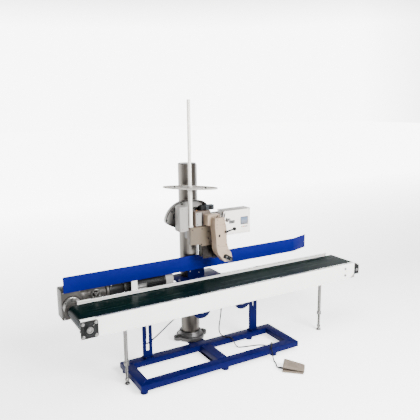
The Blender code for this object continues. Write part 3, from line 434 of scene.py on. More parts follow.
def eased(profile, size):
    """A turned profile with its corners cut back by size."""
    if not size:
        return profile
    points = [profile[0]]
    for before, corner, after in zip(profile, profile[1:], profile[2:]):
        corner = Vector(corner)
        for neighbour in (Vector(before), Vector(after)):
            run = neighbour - corner
            reach = min(size, run.length * 0.4)
            points.append(tuple(corner + run.normalized() * reach))
    points.append(profile[-1])
    return points


def lathe(profile, place=(0.0, 0.0, 0.0), direction=Z, sides=40, ease=0.0006, closed=False, roll=0.0):
    """A turned solid: the profile is (height, radius) from the lower end up, round again when closed."""
    if closed:
        points = eased([profile[-1]] + profile + [profile[0]], ease)[1:-1]
    else:
        low, high = profile[0][0], profile[-1][0]
        points = eased([(low, 0.0)] + profile + [(high, 0.0)], ease)[1:-1]
    form = bmesh.new()
    rings = []
    for height, radius in points:
        ring = []
        for i in range(sides):
            angle = 2 * math.pi * i / sides
            ring.append(form.verts.new((radius * math.cos(angle), radius * math.sin(angle), height)))
        rings.append(ring)
    pairs = list(zip(rings, rings[1:]))
    if closed:
        pairs.append((rings[-1], rings[0]))
    for lower, upper in pairs:
        for i in range(sides):
            k = (i + 1) % sides
            form.faces.new((lower[i], lower[k], upper[k], upper[i]))
    if not closed:
        form.faces.new(list(reversed(rings[0])))
        form.faces.new(rings[-1])
    return aimed(form, place, direction, roll)


def slab(plane, loops, low, high, width=0.0008, segments=2):
    """An outline, with any holes as further loops, made solid from low to high across its plane."""
    axes = {"XY": (0, 1, 2), "XZ": (0, 2, 1), "YZ": (1, 2, 0)}[plane]
    form = bmesh.new()
    edges = []
    for loop in loops:
        corners = []
        for across, along in loop:
            spot = [0.0, 0.0, 0.0]
            spot[axes[0]], spot[axes[1]], spot[axes[2]] = across, along, low
            corners.append(form.verts.new(spot))
        for i, corner in enumerate(corners):
            edges.append(form.edges.new((corner, corners[(i + 1) % len(corners)])))
    if len(loops) == 1:
        form.faces.new(corners)
    else:
        bmesh.ops.triangle_fill(form, use_beauty=True, use_dissolve=False, edges=edges)
    grown = bmesh.ops.extrude_face_region(form, geom=list(form.faces))
    shift = [0.0, 0.0, 0.0]
    shift[axes[2]] = high - low
    moved = [item for item in grown["geom"] if isinstance(item, bmesh.types.BMVert)]
    bmesh.ops.translate(form, vec=shift, verts=moved)
    bmesh.ops.recalc_face_normals(form, faces=form.faces)
    return rounded(form, width, segments)


def tube(points, radius, sides=14, closed=False):
    """A pipe along points, with flat ends, or a ring when closed. Radius is one number or a list."""
    points = [Vector(point) for point in points]
    count = len(points)
    radii = radius if isinstance(radius, (list, tuple)) else [radius] * count
    form = bmesh.new()
    rings = []
    across = None
    for i, point in enumerate(points):
        before = points[i - 1] if i > 0 or closed else point
        after = points[(i + 1) % count] if i < count - 1 or closed else point
        along = (after - before).normalized()
        if across is None:
            across = along.orthogonal().normalized()
        across = (across - along * across.dot(along)).normalized()
        side = along.cross(across)
        ring = []
        for k in range(sides):
            angle = 2 * math.pi * k / sides
            offset = (across * math.cos(angle) + side * math.sin(angle)) * radii[i]
            ring.append(form.verts.new(point + offset))
        rings.append(ring)
    pairs = list(zip(rings, rings[1:]))
    if closed:
        pairs.append((rings[-1], rings[0]))
    for lower, upper in pairs:
        for k in range(sides):
            m = (k + 1) % sides
            form.faces.new((lower[k], lower[m], upper[m], upper[k]))
    if not closed:
        form.faces.new(list(reversed(rings[0])))
        form.faces.new(rings[-1])
    return form


def from_cad(node, width=0.0, segments=2, angle=30.0):
    """The CAD node's own solid with its flat faces made whole and its edges rounded."""
    form = bmesh.new()
    form.from_mesh(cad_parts[node].data)
    bmesh.ops.remove_doubles(form, verts=form.verts, dist=0.00001)
    bmesh.ops.dissolve_limit(form, angle_limit=math.radians(0.6), verts=form.verts, edges=form.edges)
    bmesh.ops.recalc_face_normals(form, faces=form.faces)
    return rounded(form, width, segments, angle)


def arc(centre, radius, start, end, count):
    """Points on an arc, in degrees, anticlockwise when end is larger."""
    points = []
    for i in range(count + 1):
        angle = math.radians(start + (end - start) * i / count)
        points.append((centre[0] + radius * math.cos(angle), centre[1] + radius * math.sin(angle)))
    return points


def hoop(y, x, z, radius, count, start=0.0):
    """Points round a circle that faces along Y."""
    points = []
    for i in range(count):
        angle = start + 2 * math.pi * i / count
        points.append(Vector((x + radius * math.cos(angle), y, z + radius * math.sin(angle))))
    return points


def band_outline(first, second, first_radius, second_radius, count=48):
    """The outline of a taut band round two circles, the first one on the left."""
    run = math.hypot(second[0] - first[0], second[1] - first[1])
    slope = math.degrees(math.atan2(second[1] - first[1], second[0] - first[0]))
    lean = math.degrees(math.acos((first_radius - second_radius) / run))
    left = arc(first, first_radius, slope + lean, slope + 360 - lean, count)
    right = arc(second, second_radius, slope - lean, slope + lean, count)
    return left + right


def smooth_route(route, spacing):
    """Points at even spacing on the Catmull-Rom curve through a route."""
    stops = [Vector(stop) for stop in route]
    padded = [2 * stops[0] - stops[1]] + stops + [2 * stops[-1] - stops[-2]]
    dense = []
    fineness = 24
    for i in range(1, len(padded) - 2):
        before, start, end, after = padded[i - 1:i + 3]
        for step in range(fineness):
            t = step / fineness
            dense.append(0.5 * (2 * start + (end - before) * t
                                + (2 * before - 5 * start + 4 * end - after) * t ** 2
                                + (3 * start - before - 3 * end + after) * t ** 3))
    dense.append(stops[-1])
    lengths = [0.0]
    for one, two in zip(dense, dense[1:]):
        lengths.append(lengths[-1] + (two - one).length)
    count = max(2, round(lengths[-1] / spacing))
    result = []
    k = 0
    for i in range(count + 1):
        target = lengths[-1] * i / count
        while k < len(lengths) - 2 and lengths[k + 1] < target:
            k += 1
        span = lengths[k + 1] - lengths[k]
        result.append(dense[k].lerp(dense[k + 1], (target - lengths[k]) / span))
    return result


class Piece:
    """One visible piece under construction: forms are added with the material each one takes."""

    def __init__(self, name, body):
        self.name = name
        self.body = body
        self.form = bmesh.new()
        self.materials = []

    def add(self, form, material):
        if material not in self.materials:
            self.materials.append(material)
        bmesh.ops.recalc_face_normals(form, faces=form.faces)
        for face in form.faces:
            face.material_index = self.materials.index(material)
            face.smooth = True
        mesh = bpy.data.meshes.new("loose")
        form.to_mesh(mesh)
        form.free()
        self.form.from_mesh(mesh)
        bpy.data.meshes.remove(mesh)
        return self

    def bolt(self, place, direction, size, material="zinc", washer=True, roll=0.2):
        """A hexagon bolt head of thread diameter size, on a washer, standing out along its direction."""
        base = 0.0
        if washer:
            base = size * 0.18
            self.add(lathe([(0.0, size * 1.05), (base, size * 1.05)], place, direction, 24, size * 0.05),
                     material)
        head = [(base, size * 0.88), (base + size * 0.5, size * 0.9), (base + size * 0.62, size * 0.72)]
        self.add(lathe(head, place, direction, 6, 0.0, roll=roll), material)
        return self

    def screw(self, place, direction, radius, material="zinc"):
        """A socket screw with a domed head and a recess."""
        head = [(0.0, radius), (radius * 0.45, radius * 0.92), (radius * 0.75, radius * 0.62),
                (radius * 0.75, radius * 0.42), (radius * 0.25, radius * 0.38)]
        self.add(lathe(head, place, direction, 20, radius * 0.06), material)
        return self

    def finish(self, *replaced, slot=None, sharp=32.0):
        mesh = bpy.data.meshes.new(self.name)
        self.form.to_mesh(mesh)
        self.form.free()
        for material in self.materials:
            mesh.materials.append(MATERIALS[material])
        mesh.set_sharp_from_angle(angle=math.radians(sharp))
        piece = bpy.data.objects.new(self.name, mesh)
        bpy.context.scene.collection.objects.link(piece)
        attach(piece, self.body)
        if replaced:
            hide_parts(*replaced)
        return piece


def shaped(name, body, node, material, width=0.0, segments=2, angle=30.0):
    """A piece that starts as a CAD node's own solid with rounded edges."""
    return Piece(name, body).add(from_cad(node, width, segments, angle), material)


# ---------------------------------------------------------------- cables

# Points along each cable's centre line, from the junction box outwards, as in the CAD source
PEDAL_CABLE_DIAMETER = 0.007
PEDAL_CABLE = [
    (0.1220, -0.2000, 0.2600), (0.1210, -0.2000, 0.2300), (0.1150, -0.2000, 0.1850),
    (0.1070, -0.2010, 0.1450), (0.1030, -0.2030, 0.1120), (0.1060, -0.2070, 0.0870),
    (0.1170, -0.2160, 0.0690), (0.1330, -0.2330, 0.0608), (0.1520, -0.2520, 0.0612),
    (0.1628, -0.2664, 0.0545), (0.1666, -0.2714, 0.0457), (0.1762, -0.2842, 0.0180),
    (0.1850, -0.2960, 0.0062), (0.1980, -0.3050, 0.0042), (0.2350, -0.3170, 0.0038),
    (0.2750, -0.3270, 0.0038), (0.3150, -0.3400, 0.0038), (0.3450, -0.3620, 0.0038),
    (0.3560, -0.3920, 0.0042), (0.3506, -0.4116, 0.0105), (0.3487, -0.4176, 0.0180),
    (0.3439, -0.4329, 0.0457), (0.3395, -0.4469, 0.0592), (0.3330, -0.4600, 0.0608),
    (0.3100, -0.4880, 0.0603), (0.2870, -0.5130, 0.0612), (0.2798, -0.5312, 0.0548),
    (0.2779, -0.5372, 0.0460), (0.2735, -0.5524, 0.0185), (0.2700, -0.5665, 0.0062),
    (0.2660, -0.5840, 0.0040), (0.2580, -0.6040, 0.0038), (0.2480, -0.6220, 0.0040),
    (0.2400, -0.6370, 0.0055), (0.2410, -0.6530, 0.0080), (0.2483, -0.6613, 0.0085),
    (0.2565, -0.6690, 0.0085)
]
POWER_CABLE_DIAMETER = 0.008
POWER_CABLE = [
    (0.0592, -0.185, 0.2950), (0.0430, -0.185, 0.2950), (0.0310, -0.176, 0.2820),
    (0.0370, -0.145, 0.2400), (0.0640, -0.090, 0.2020), (0.0800, -0.035, 0.1830),
    (0.0800, 0.020, 0.1700), (0.0520, 0.062, 0.1600), (0.0050, 0.078, 0.1500),
    (-0.0480, 0.068, 0.1410), (-0.1000, 0.040, 0.1330), (-0.1600, 0.000, 0.1250),
    (-0.2200, -0.045, 0.1180), (-0.2850, -0.093, 0.1120), (-0.3450, -0.137, 0.1100),
    (-0.3850, -0.170, 0.1180), (-0.4000, -0.192, 0.1450), (-0.4015, -0.202, 0.1850),
    (-0.4015, -0.203, 0.2350), (-0.4030, -0.193, 0.2750), (-0.4100, -0.165, 0.3000),
    (-0.4200, -0.120, 0.3080), (-0.4320, -0.070, 0.3120), (-0.4430, -0.030, 0.3250),
    (-0.4485, -0.004, 0.3460), (-0.4490, 0.000, 0.3580), (-0.4490, 0.000, 0.3688)
]


def add_cable(name, node, route, diameter):
    """A round cable on its route, with no joints along its length."""
    points = smooth_route(route, 0.008)
    cable = Piece(name, "base").add(tube(points, diameter / 2, 16), "cable_rubber").finish(node,
                                                                                           slot="rubber")


def strain_relief(name, body, route, diameter, length):
    """A tapered, ringed sleeve on the first stretch of a route."""
    points = smooth_route(route, 0.002)
    stops = []
    run = 0.0
    for one, two in zip(points, points[1:]):
        stops.append(one)
        run += (two - one).length
        if run >= length:
            break
    count = len(stops)
    widths = []
    for i in range(count):
        taper = diameter * (0.95 - 0.38 * i / count)
        widths.append(taper + (0.0007 if (i // 2) % 2 else 0.0))
    Piece(name, body).add(tube(stops, widths, 16), "black_rubber").finish()


def add_cables():
    add_cable("pedal_lead", "pedal_cable", PEDAL_CABLE, PEDAL_CABLE_DIAMETER)
    add_cable("motor_lead", "power_cable", POWER_CABLE, POWER_CABLE_DIAMETER)
    strain_relief("relief_box_pedal", "base", PEDAL_CABLE, PEDAL_CABLE_DIAMETER, 0.03)
    strain_relief("relief_pedal", "base", PEDAL_CABLE[::-1], PEDAL_CABLE_DIAMETER, 0.026)
    strain_relief("relief_box_power", "base", POWER_CABLE, POWER_CABLE_DIAMETER, 0.024)
    strain_relief("relief_motor", "base", POWER_CABLE[::-1], POWER_CABLE_DIAMETER, 0.022)


# ---------------------------------------------------------------- base frame, posts and column

FRAME_WALL = 0.06        # width of the frame's box section
MITRE_BEAD = 0.0016
TIE_RAIL_X = (-0.0588, 0.0058)
POST_Y = -0.223           # middle of the posts' uprights
KEYWAY_HEADING = math.radians(247.6)      # side of the column with the keyway
LOBE_REACH = 0.092        # from the column's axis to the bolts of its foot
LOBE_TOP = 0.031


def weld(piece, start, end, radius, material, ripple=0.004):
    """A scalloped weld bead from one point to another."""
    start = Vector(start)
    end = Vector(end)
    count = max(6, int((end - start).length / (ripple / 4)))
    points = [start.lerp(end, i / count) for i in range(count + 1)]
    widths = [radius * (0.86 + 0.14 * abs(math.sin(math.pi * i / 4))) for i in range(count + 1)]
    piece.add(tube(points, widths, 8), material)


def build_frame():
    low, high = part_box("base_frame")
    # The frame rails take the darkened blue, which carries painted shade.
    frame_piece = shaped("frame_rails", "base", "base_frame", "painted_shade_blue", 0.0045, 3)
    for x in TIE_RAIL_X:
        for y in (low.y + FRAME_WALL, high.y - FRAME_WALL):
            weld(frame_piece, (x, y, low.z + 0.004), (x, y, high.z - 0.003), 0.003, "painted_shade_blue")
    for y in (low.y + FRAME_WALL, high.y - FRAME_WALL):
        weld(frame_piece, (TIE_RAIL_X[0] + 0.004, y, high.z), (TIE_RAIL_X[1] - 0.004, y, high.z), 0.0026,
             "painted_shade_blue")
    for x, inward in ((low.x, 1.0), (high.x, -1.0)):
        for y, along in ((low.y, 1.0), (high.y, -1.0)):
            weld(frame_piece, (x + inward * 0.006, y + along * 0.006, high.z - 0.0004),
                 (x + inward * (FRAME_WALL - 0.002), y + along * (FRAME_WALL - 0.002), high.z - 0.0004),
                 MITRE_BEAD, "painted_shade_blue")
    frame_piece.finish("base_frame", slot="blue_paint")
    plate = shaped("floor_plate", "base", "sole_plate", "navy", 0.0008)
    box_low, box_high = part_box("sole_plate")
    for x in (box_low.x + 0.014, box_high.x - 0.014):
        plate.screw((x, box_high.y - 0.0075, box_low.z + 0.006), Z, 0.0035, "dark_steel")
    plate.finish("sole_plate", slot="navy_paint")


def build_posts():
    for side in ("left", "right"):
        low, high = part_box(f"post_{side}")
        middle = (low.x + high.x) / 2
        # The posts take the darkened blue, which carries painted shade.
        post = shaped(f"slotted_post_{side}", "base", f"post_{side}", "painted_shade_blue", 0.0011)
        for x in (low.x + 0.01, high.x - 0.01):
            for y in (POST_Y - 0.016, POST_Y + 0.016):
                post.bolt((x, y, low.z + 0.0058), Z, 0.006, "dark_steel", roll=x * 40)
        for y in (POST_Y - 0.004, POST_Y + 0.004):
            weld(post, (low.x + 0.002, y, low.z + 0.006), (high.x - 0.002, y, low.z + 0.006), 0.0022, "painted_shade_blue")
        post.bolt((middle, POST_Y - 0.0042, high.z - 0.044), -Y, 0.01, "zinc")
        post.bolt((middle, POST_Y + 0.0042, high.z - 0.044), Y, 0.01, "zinc")
        post.finish(f"post_{side}", slot="blue_paint")


def build_column():
    """Polished tube with a keyway and a cap."""
    low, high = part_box("column_tube")
    radius = high.x
    tube_piece = Piece("column", "base")
    key_half = 0.0012 / radius
    key_depth = 0.002
    count = 96
    angles = [KEYWAY_HEADING + key_half + (2 * math.pi - 2 * key_half) * i / count for i in range(count + 1)]
    outline = [(radius * math.cos(a), radius * math.sin(a)) for a in angles]
    inner = radius - key_depth
    for edge in (KEYWAY_HEADING - key_half, KEYWAY_HEADING + key_half):
        outline.append((inner * math.cos(edge), inner * math.sin(edge)))
    tube_piece.add(slab("XY", [outline], low.z, high.z - 0.0035, 0.0), "column_steel")
    tube_piece.add(lathe([(high.z - 0.0035, radius - 0.0004), (high.z - 0.0015, radius - 0.001),
                          (high.z, radius - 0.004)], sides=72), "turned_steel")
    tube_piece.finish("column_tube", slot="stainless")


def build_rack():
    low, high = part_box("column_rack")
    rack = Piece("lift_rack", "base")
    tooth = 0.0055
    depth = 0.0036
    outline = [(low.x, low.z), (high.x - depth, low.z)]
    z = low.z + 0.006
    while z + tooth < high.z - 0.004:
        outline += [(high.x - depth, z), (high.x, z + tooth * 0.3), (high.x, z + tooth * 0.62),
                    (high.x - depth, z + tooth * 0.92)]
        z += tooth
    outline += [(high.x - depth, high.z), (low.x, high.z)]
    rack.add(slab("XZ", [outline], low.y, high.y, 0.0), "zinc")
    rack.finish("column_rack", slot="zinc")


def build_column_foot():
    foot = shaped("foot_casting", "base", "column_foot", "foot_cast", 0.0022, 3, 24.0)
    for x in (-LOBE_REACH, LOBE_REACH):
        foot.bolt((x, 0.0, LOBE_TOP), Z, 0.012, "zinc")
    for angle in (0.5, 2.6, 4.3):
        direction = Vector((math.cos(angle), math.sin(angle), 0.0))
        foot.screw(direction * 0.0725 + Z * 0.0485, direction, 0.0045, "dark_steel")
    foot.finish("column_foot", slot="cast_aluminium")


# ---------------------------------------------------------------- conveyor

ROLLER_Z = 0.3775
ROLLER_RADIUS = 0.038
BELT_THICKNESS = 0.003
STRIP_JOINTS = (-0.118, 0.479)
STRIP_SCREWS = 5          # in each length of the strip
LEGS_X = (-0.584, 0.808)
BELT_JOINT_X = 0.62


def build_beams():
    for side, outward in (("front", -1.0), ("rear", 1.0)):
        low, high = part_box(f"beam_{side}")
        beam = shaped(f"side_channel_{side}", "base", f"beam_{side}", "white", 0.0011, 3)
        face = low.y if outward < 0 else high.y
        for z in (0.4, 0.353):
            beam.bolt((high.x - 0.083, face, z), outward * Y, 0.008, "zinc")
        if side == "front":
            for x in LEGS_X:
                beam.add(block((x - 0.026, face + 0.002, low.z - 0.0002),
                               (x + 0.026, face + 0.026, low.z + 0.0048)), "zinc")
                for shift in (-0.018, 0.018):
                    beam.bolt((x + shift, face + 0.013, low.z - 0.0002), -Z, 0.004, "zinc", washer=False)
        beam.finish(f"beam_{side}", slot="white_paint")
        build_wear_strip(side, face, -outward, low, high)
    build_end_plate()


def build_wear_strip(side, face, inward, low, high):
    """Bright strip along the beam's top, in three lengths with dark joints."""
    strip = Piece(f"wear_strip_{side}", "base")
    ends = [low.x + 0.078, *STRIP_JOINTS, high.x - 0.004]
    near, far = sorted((face + inward * 0.0035, face + inward * 0.0155))
    for start, end in zip(ends, ends[1:]):
        strip.add(block((start + 0.0012, near, high.z), (end - 0.0012, far, high.z + 0.0016), 0.0005),
                  "bright_strip")
        for i in range(STRIP_SCREWS):
            x = start + (end - start) * (i + 0.5) / STRIP_SCREWS
            strip.screw((x, (near + far) / 2, high.z + 0.0015), Z, 0.0026, "dark_steel")
    for x in STRIP_JOINTS:
        strip.add(block((x - 0.007, near - 0.001, high.z), (x + 0.007, far + 0.0035, high.z + 0.0024),
                        0.0006), "black_plastic")
    strip.finish()


def build_end_plate():
    """Plate and gusset that close the tail ends of the beams, with the belt's tension screws."""
    for side, outward in (("front", -1.0), ("rear", 1.0)):
        low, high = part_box(f"beam_{side}")
        face = low.y if outward < 0 else high.y
        inward = -outward
        near, far = sorted((face + inward * 0.0005, face + inward * 0.0165))
        plate = Piece(f"end_plate_{side}", "base")
        plate.add(block((high.x + 0.0003, near, low.z + 0.004), (high.x + 0.0043, far, high.z - 0.026),
                        0.0008), "black_paint")
        gusset = [(high.x - 0.034, low.z + 0.004), (high.x, low.z + 0.004), (high.x, low.z + 0.03)]
        edge = sorted((face + outward * 0.0003, face + outward * 0.0028))
        plate.add(slab("XZ", [gusset], edge[0], edge[1], 0.0005), "light_grey")
        middle = (near + far) / 2
        screw_end = high.x + 0.0043
        rings = [(0.0, 0.003)]
        turn = 0.0012
        for i in range(14):
            rings += [(turn * (i + 0.25), 0.0036), (turn * (i + 0.75), 0.003)]
        rings.append((turn * 14.5, 0.003))
        plate.add(lathe(rings, (screw_end, middle, ROLLER_Z), X, 18, 0.0), "zinc")
        plate.add(lathe([(0.0, 0.0068), (0.005, 0.0068)], (screw_end + 0.0002, middle, ROLLER_Z), X, 6,
                        0.0005), "zinc")
        plate.finish()
        low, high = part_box(f"takeup_{side}")
        slide = shaped(f"tension_slide_{side}", "base", f"takeup_{side}", "black_paint", 0.0008)
        slide.finish(f"takeup_{side}", slot="zinc")


def build_belt():
    low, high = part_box("conveyor_belt")
    outer = ROLLER_RADIUS + BELT_THICKNESS
    left = (low.x + outer, ROLLER_Z)
    right = (high.x - outer, ROLLER_Z)
    middle = ROLLER_RADIUS + BELT_THICKNESS * 0.45
    belt = Piece("belt_band", "base")
    cover = [band_outline(left, right, outer, outer), band_outline(left, right, middle, middle)]
    lining = [band_outline(left, right, middle, middle),
              band_outline(left, right, ROLLER_RADIUS + 0.0001, ROLLER_RADIUS + 0.0001)]
    belt.add(slab("XZ", cover, low.y, high.y, 0.0), "belt_green")
    belt.add(slab("XZ", lining, low.y + 0.0004, high.y - 0.0004, 0.0), "belt_fabric")
    teeth = 24
    step = (high.y - low.y) / teeth
    tip_x = BELT_JOINT_X + 0.028
    seam_z = high.z - 0.0001
    for i in range(teeth):
        y = low.y + step * i
        root = (BELT_JOINT_X, y, seam_z)
        tip = (tip_x, y + step / 2, seam_z)
        belt.add(tube([root, tip], 0.00035, 6), "belt_green")
        belt.add(tube([tip, (BELT_JOINT_X, y + step, seam_z)], 0.00035, 6), "belt_green")
    belt.finish("conveyor_belt", slot="green_belt")
    bed = shaped("slider_sheet", "base", "slider_bed", "zinc", 0.0005)
    bed_low, bed_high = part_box("slider_bed")
    for i in range(9):
        x = bed_low.x + 0.1 + (bed_high.x - bed_low.x - 0.2) * i / 8
        for y in (bed_low.y + 0.002, bed_high.y - 0.005):
            bed.add(block((x - 0.02, y, bed_low.z - 0.012), (x + 0.02, y + 0.003, bed_low.z + 0.0006),
                          0.0005), "zinc")
    bed.finish("slider_bed", slot="zinc")


def build_roller(node, name, radius, axle, material, shell):
    """A turned roller: shell, recessed ends with a bearing ring, and its axle."""
    low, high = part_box(node)
    middle = ((low.x + high.x) / 2, 0.0, (low.z + high.z) / 2)
    near, far = shell
    roller = Piece(name, node)
    profile = [(near + 0.004, axle + 0.006), (near + 0.004, radius - 0.007), (near, radius - 0.004),
               (near, radius), (far, radius), (far, radius - 0.004), (far - 0.004, radius - 0.007),
               (far - 0.004, axle + 0.006)]
    roller.add(lathe(profile, middle, Y, 56, 0.0008), material)
    for end, step in ((near, 1.0), (far, -1.0)):
        ring = sorted((end + step * 0.0045, end + step * 0.001))
        roller.add(lathe([(ring[0], axle + 0.006), (ring[1], axle + 0.006)], middle, Y, 32, 0.0005), "zinc")
        for i in range(4):
            angle = math.pi / 4 + math.pi / 2 * i
            spot = Vector((middle[0] + (radius - 0.011) * math.cos(angle), end + step * 0.0042,
                           middle[2] + (radius - 0.011) * math.sin(angle)))
            if radius > 0.03:
                roller.screw(spot, -step * Y, 0.0028, "zinc")
    if axle:
        roller.add(lathe([(low.y, axle), (high.y, axle)], middle, Y, 36, 0.0012), "turned_steel")
        roller.add(block((middle[0] - 0.0015, low.y + 0.0004, middle[2] + axle - 0.003),
                         (middle[0] + 0.0015, low.y + 0.016, middle[2] + axle + 0.0001), 0.0003),
                   "dark_steel")
    roller.finish(node, slot="dark_steel")


def build_rollers():
    low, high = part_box("conveyor_belt")
    shell = (low.y + 0.002, high.y - 0.002)
    build_roller("drive_roller", "drive_drum", ROLLER_RADIUS - 0.0003, 0.01, "black_rubber", shell)
    build_roller("tail_roller", "tail_drum", ROLLER_RADIUS - 0.0003, 0.01, "dark_steel", shell)
    for number in (1, 2):
        low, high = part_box(f"return_roller_{number}")
        middle = ((low.x + high.x) / 2, 0.0, (low.z + high.z) / 2)
        radius = (high.x - low.x) / 2
        bore = 0.0063
        profile = [(low.y, bore), (low.y, radius - 0.002), (low.y + 0.002, radius), (high.y - 0.002, radius),
                   (high.y, radius - 0.002), (high.y, bore)]
        roller = Piece(f"return_drum_{number}", f"return_roller_{number}")
        roller.add(lathe(profile, middle, Y, 40, 0.0006, closed=True), "turned_steel")
        for y in (low.y + 0.014, high.y - 0.014):
            ring = [(y - 0.0012, radius - 0.001), (y, radius + 0.0001), (y + 0.0012, radius - 0.001)]
            roller.add(lathe(ring, middle, Y, 40, 0.0), "dark_steel")
        roller.finish(f"return_roller_{number}", slot="dark_steel")
        hanger = shaped(f"roller_hanger_{number}", "base", f"return_hanger_{number}", "navy", 0.0007, 2, 40.0)
        low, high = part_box(f"return_hanger_{number}")
        for y, direction in ((low.y, -Y), (high.y, Y)):
            hanger.bolt((middle[0], y, middle[2]), direction, 0.008, "zinc")
            for shift in (-0.036, 0.036):
                hanger.screw((middle[0] + shift, y, high.z - 0.012), direction, 0.004, "dark_steel")
        hanger.finish(f"return_hanger_{number}", slot="blue_paint")


def build_drive_bearing():
    """Four-bolt flange bearing with a recessed face, its insert and locking collar."""
    low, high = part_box("drive_bearing")
    x, z = (low.x + high.x) / 2, (low.z + high.z) / 2
    half = (high.x - low.x) / 2
    back = high.y
    corner = 0.012
    outline = []
    for centre_x, centre_z, start in ((half - corner, half - corner, 0), (corner - half, half - corner, 90),
                                      (corner - half, corner - half, 180),
                                      (half - corner, corner - half, 270)):
        outline += arc((x + centre_x, z + centre_z), corner, start, start + 90, 7)
    housing = Piece("flange_bearing", "base")
    housing.add(slab("XZ", [outline], back - 0.0085, back, 0.0012), "black_cast")
    front = -back
    profile = [(front + 0.004, 0.0375), (front + 0.01, 0.0345), (front + 0.0125, 0.0315),
               (front + 0.0125, 0.0285), (front + 0.019, 0.0262), (front + 0.0206, 0.0245),
               (front + 0.0206, 0.0205), (front + 0.0165, 0.0195), (front + 0.0165, 0.0115),
               (front + 0.004, 0.0115)]
    housing.add(lathe(profile, (x, 0.0, z), -Y, 56, 0.0006, closed=True), "black_cast")
    insert = [(front + 0.012, 0.0106), (front + 0.012, 0.0192), (front + 0.0172, 0.0185),
              (front + 0.0172, 0.0155), (front + 0.0205, 0.015), (front + 0.0205, 0.0106)]
    housing.add(lathe(insert, (x, 0.0, z), -Y, 48, 0.0004, closed=True), "turned_steel")
    reach = half - 0.0125
    for dx in (-reach, reach):
        for dz in (-reach, reach):
            housing.bolt((x + dx, back - 0.0085, z + dz), -Y, 0.0095, "zinc", roll=dx * 60 + dz * 30)
    for side in (-1, 1):
        housing.add(block((x + side * 0.031 - 0.004, back - 0.0115, z - 0.012),
                          (x + side * 0.031 + 0.004, back - 0.008, z + 0.012), 0.0012), "black_cast")
    nipple = Vector((0.55, -0.45, 0.7)).normalized()
    spot = Vector((x + 0.018, back - 0.013, z + 0.021))
    housing.add(lathe([(0.0, 0.0032), (0.004, 0.0032), (0.005, 0.002), (0.009, 0.0024), (0.01, 0.0012)],
                      spot, nipple, 16, 0.0003), "zinc")
    housing.finish("drive_bearing", slot="black_iron")
    bolt = Piece("belt_adjuster", "base")
    beam_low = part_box("beam_front")[0]
    bolt.add(block((beam_low.x + 0.0005, beam_low.y + 0.0035, z - 0.02),
                   (beam_low.x + 0.0045, beam_low.y + 0.018, z + 0.02)), "zinc")
    bolt.bolt((beam_low.x + 0.0005, beam_low.y + 0.0105, z - 0.01), -X, 0.008, "zinc")
    bolt.finish()


# ---------------------------------------------------------------- conveyor drive

DRIVE_LINE = (0.0, 0.44)      # y and z of the motor's and variator's common axis
VARIATOR_RIBS = 16
RIB_GAP_COSINE = -0.55         # ribs whose angle has a lower cosine than this are left out


def build_gearbox():
    low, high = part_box("gearbox")
    box_piece = shaped("drive_gearbox", "base", "gearbox", "gear_grey", 0.004, 3)
    face = low.y + 0.013
    middle = (low.x + high.x) / 2
    cover = (middle, 0.0, 0.405)
    box_piece.add(lathe([(-face - 0.001, 0.0575), (-face + 0.0022, 0.0575)], cover, -Y, 64, 0.0006),
                  "dark_steel")
    disc = [(-face, 0.0545), (-face + 0.0058, 0.0545), (-face + 0.0092, 0.05), (-face + 0.0092, 0.03)]
    box_piece.add(lathe(disc, cover, -Y, 64, 0.0008), "zinc")
    for spot in hoop(face - 0.0088, cover[0], cover[2], 0.044, 6, math.radians(30)):
        box_piece.screw(spot, -Y, 0.0036, "dark_steel")
    for i in range(5):
        z = low.z + 0.03 + 0.029 * i
        box_piece.add(block((low.x + 0.012, high.y - 0.0015, z), (high.x - 0.012, high.y - 0.0002, z + 0.006),
                            0.0006), "gear_grey")
    for x in (low.x + 0.011, high.x - 0.011):
        for z in (low.z + 0.012, high.z - 0.012):
            box_piece.bolt((x, face, z), -Y, 0.006, "zinc", washer=False)
            box_piece.screw((x, high.y - 0.0004, z), Y, 0.004, "zinc")
    box_piece.add(lathe([(0.0, 0.008), (0.0035, 0.008), (0.0035, 0.0062), (0.008, 0.0055)],
                        (middle - 0.025, 0.01, high.z - 0.0004), Z, 24, 0.0005), "bronze")
    box_piece.finish("gearbox", slot="cast_aluminium")


def build_variator():
    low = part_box("variator")[0]
    y, z = DRIVE_LINE
    line = (0.0, y, z)
    body = shaped("speed_variator", "base", "variator", "gear_grey", 0.0012, 2, 40.0)
    for i in range(VARIATOR_RIBS):
        angle = 2 * math.pi * (i + 0.5) / VARIATOR_RIBS
        if math.cos(angle) < RIB_GAP_COSINE:
            continue
        form = block((-0.688, -0.0016, 0.0455), (-0.582, 0.0016, 0.053), 0.0006)
        bmesh.ops.transform(form, matrix=Matrix.Translation(line) @ Matrix.Rotation(angle, 4, "X"),
                            verts=form.verts)
        body.add(form, "gear_grey")
    for x, direction, radius in ((-0.5752, -X, 0.0525), (-0.7, X, 0.051)):
        for i in range(8):
            angle = 2 * math.pi * (i + 0.25) / 8
            spot = (x, y + radius * math.cos(angle), z + radius * math.sin(angle))
            body.screw(spot, direction, 0.003, "zinc")
    dial = Vector((-0.645, low.y + 0.0006, 0.452))
    body.add(lathe([(0.0, 0.015), (0.0015, 0.015), (0.0015, 0.0118)], dial, Y, 32, 0.0003), "dark_steel")
    body.finish("variator", slot="cast_aluminium")


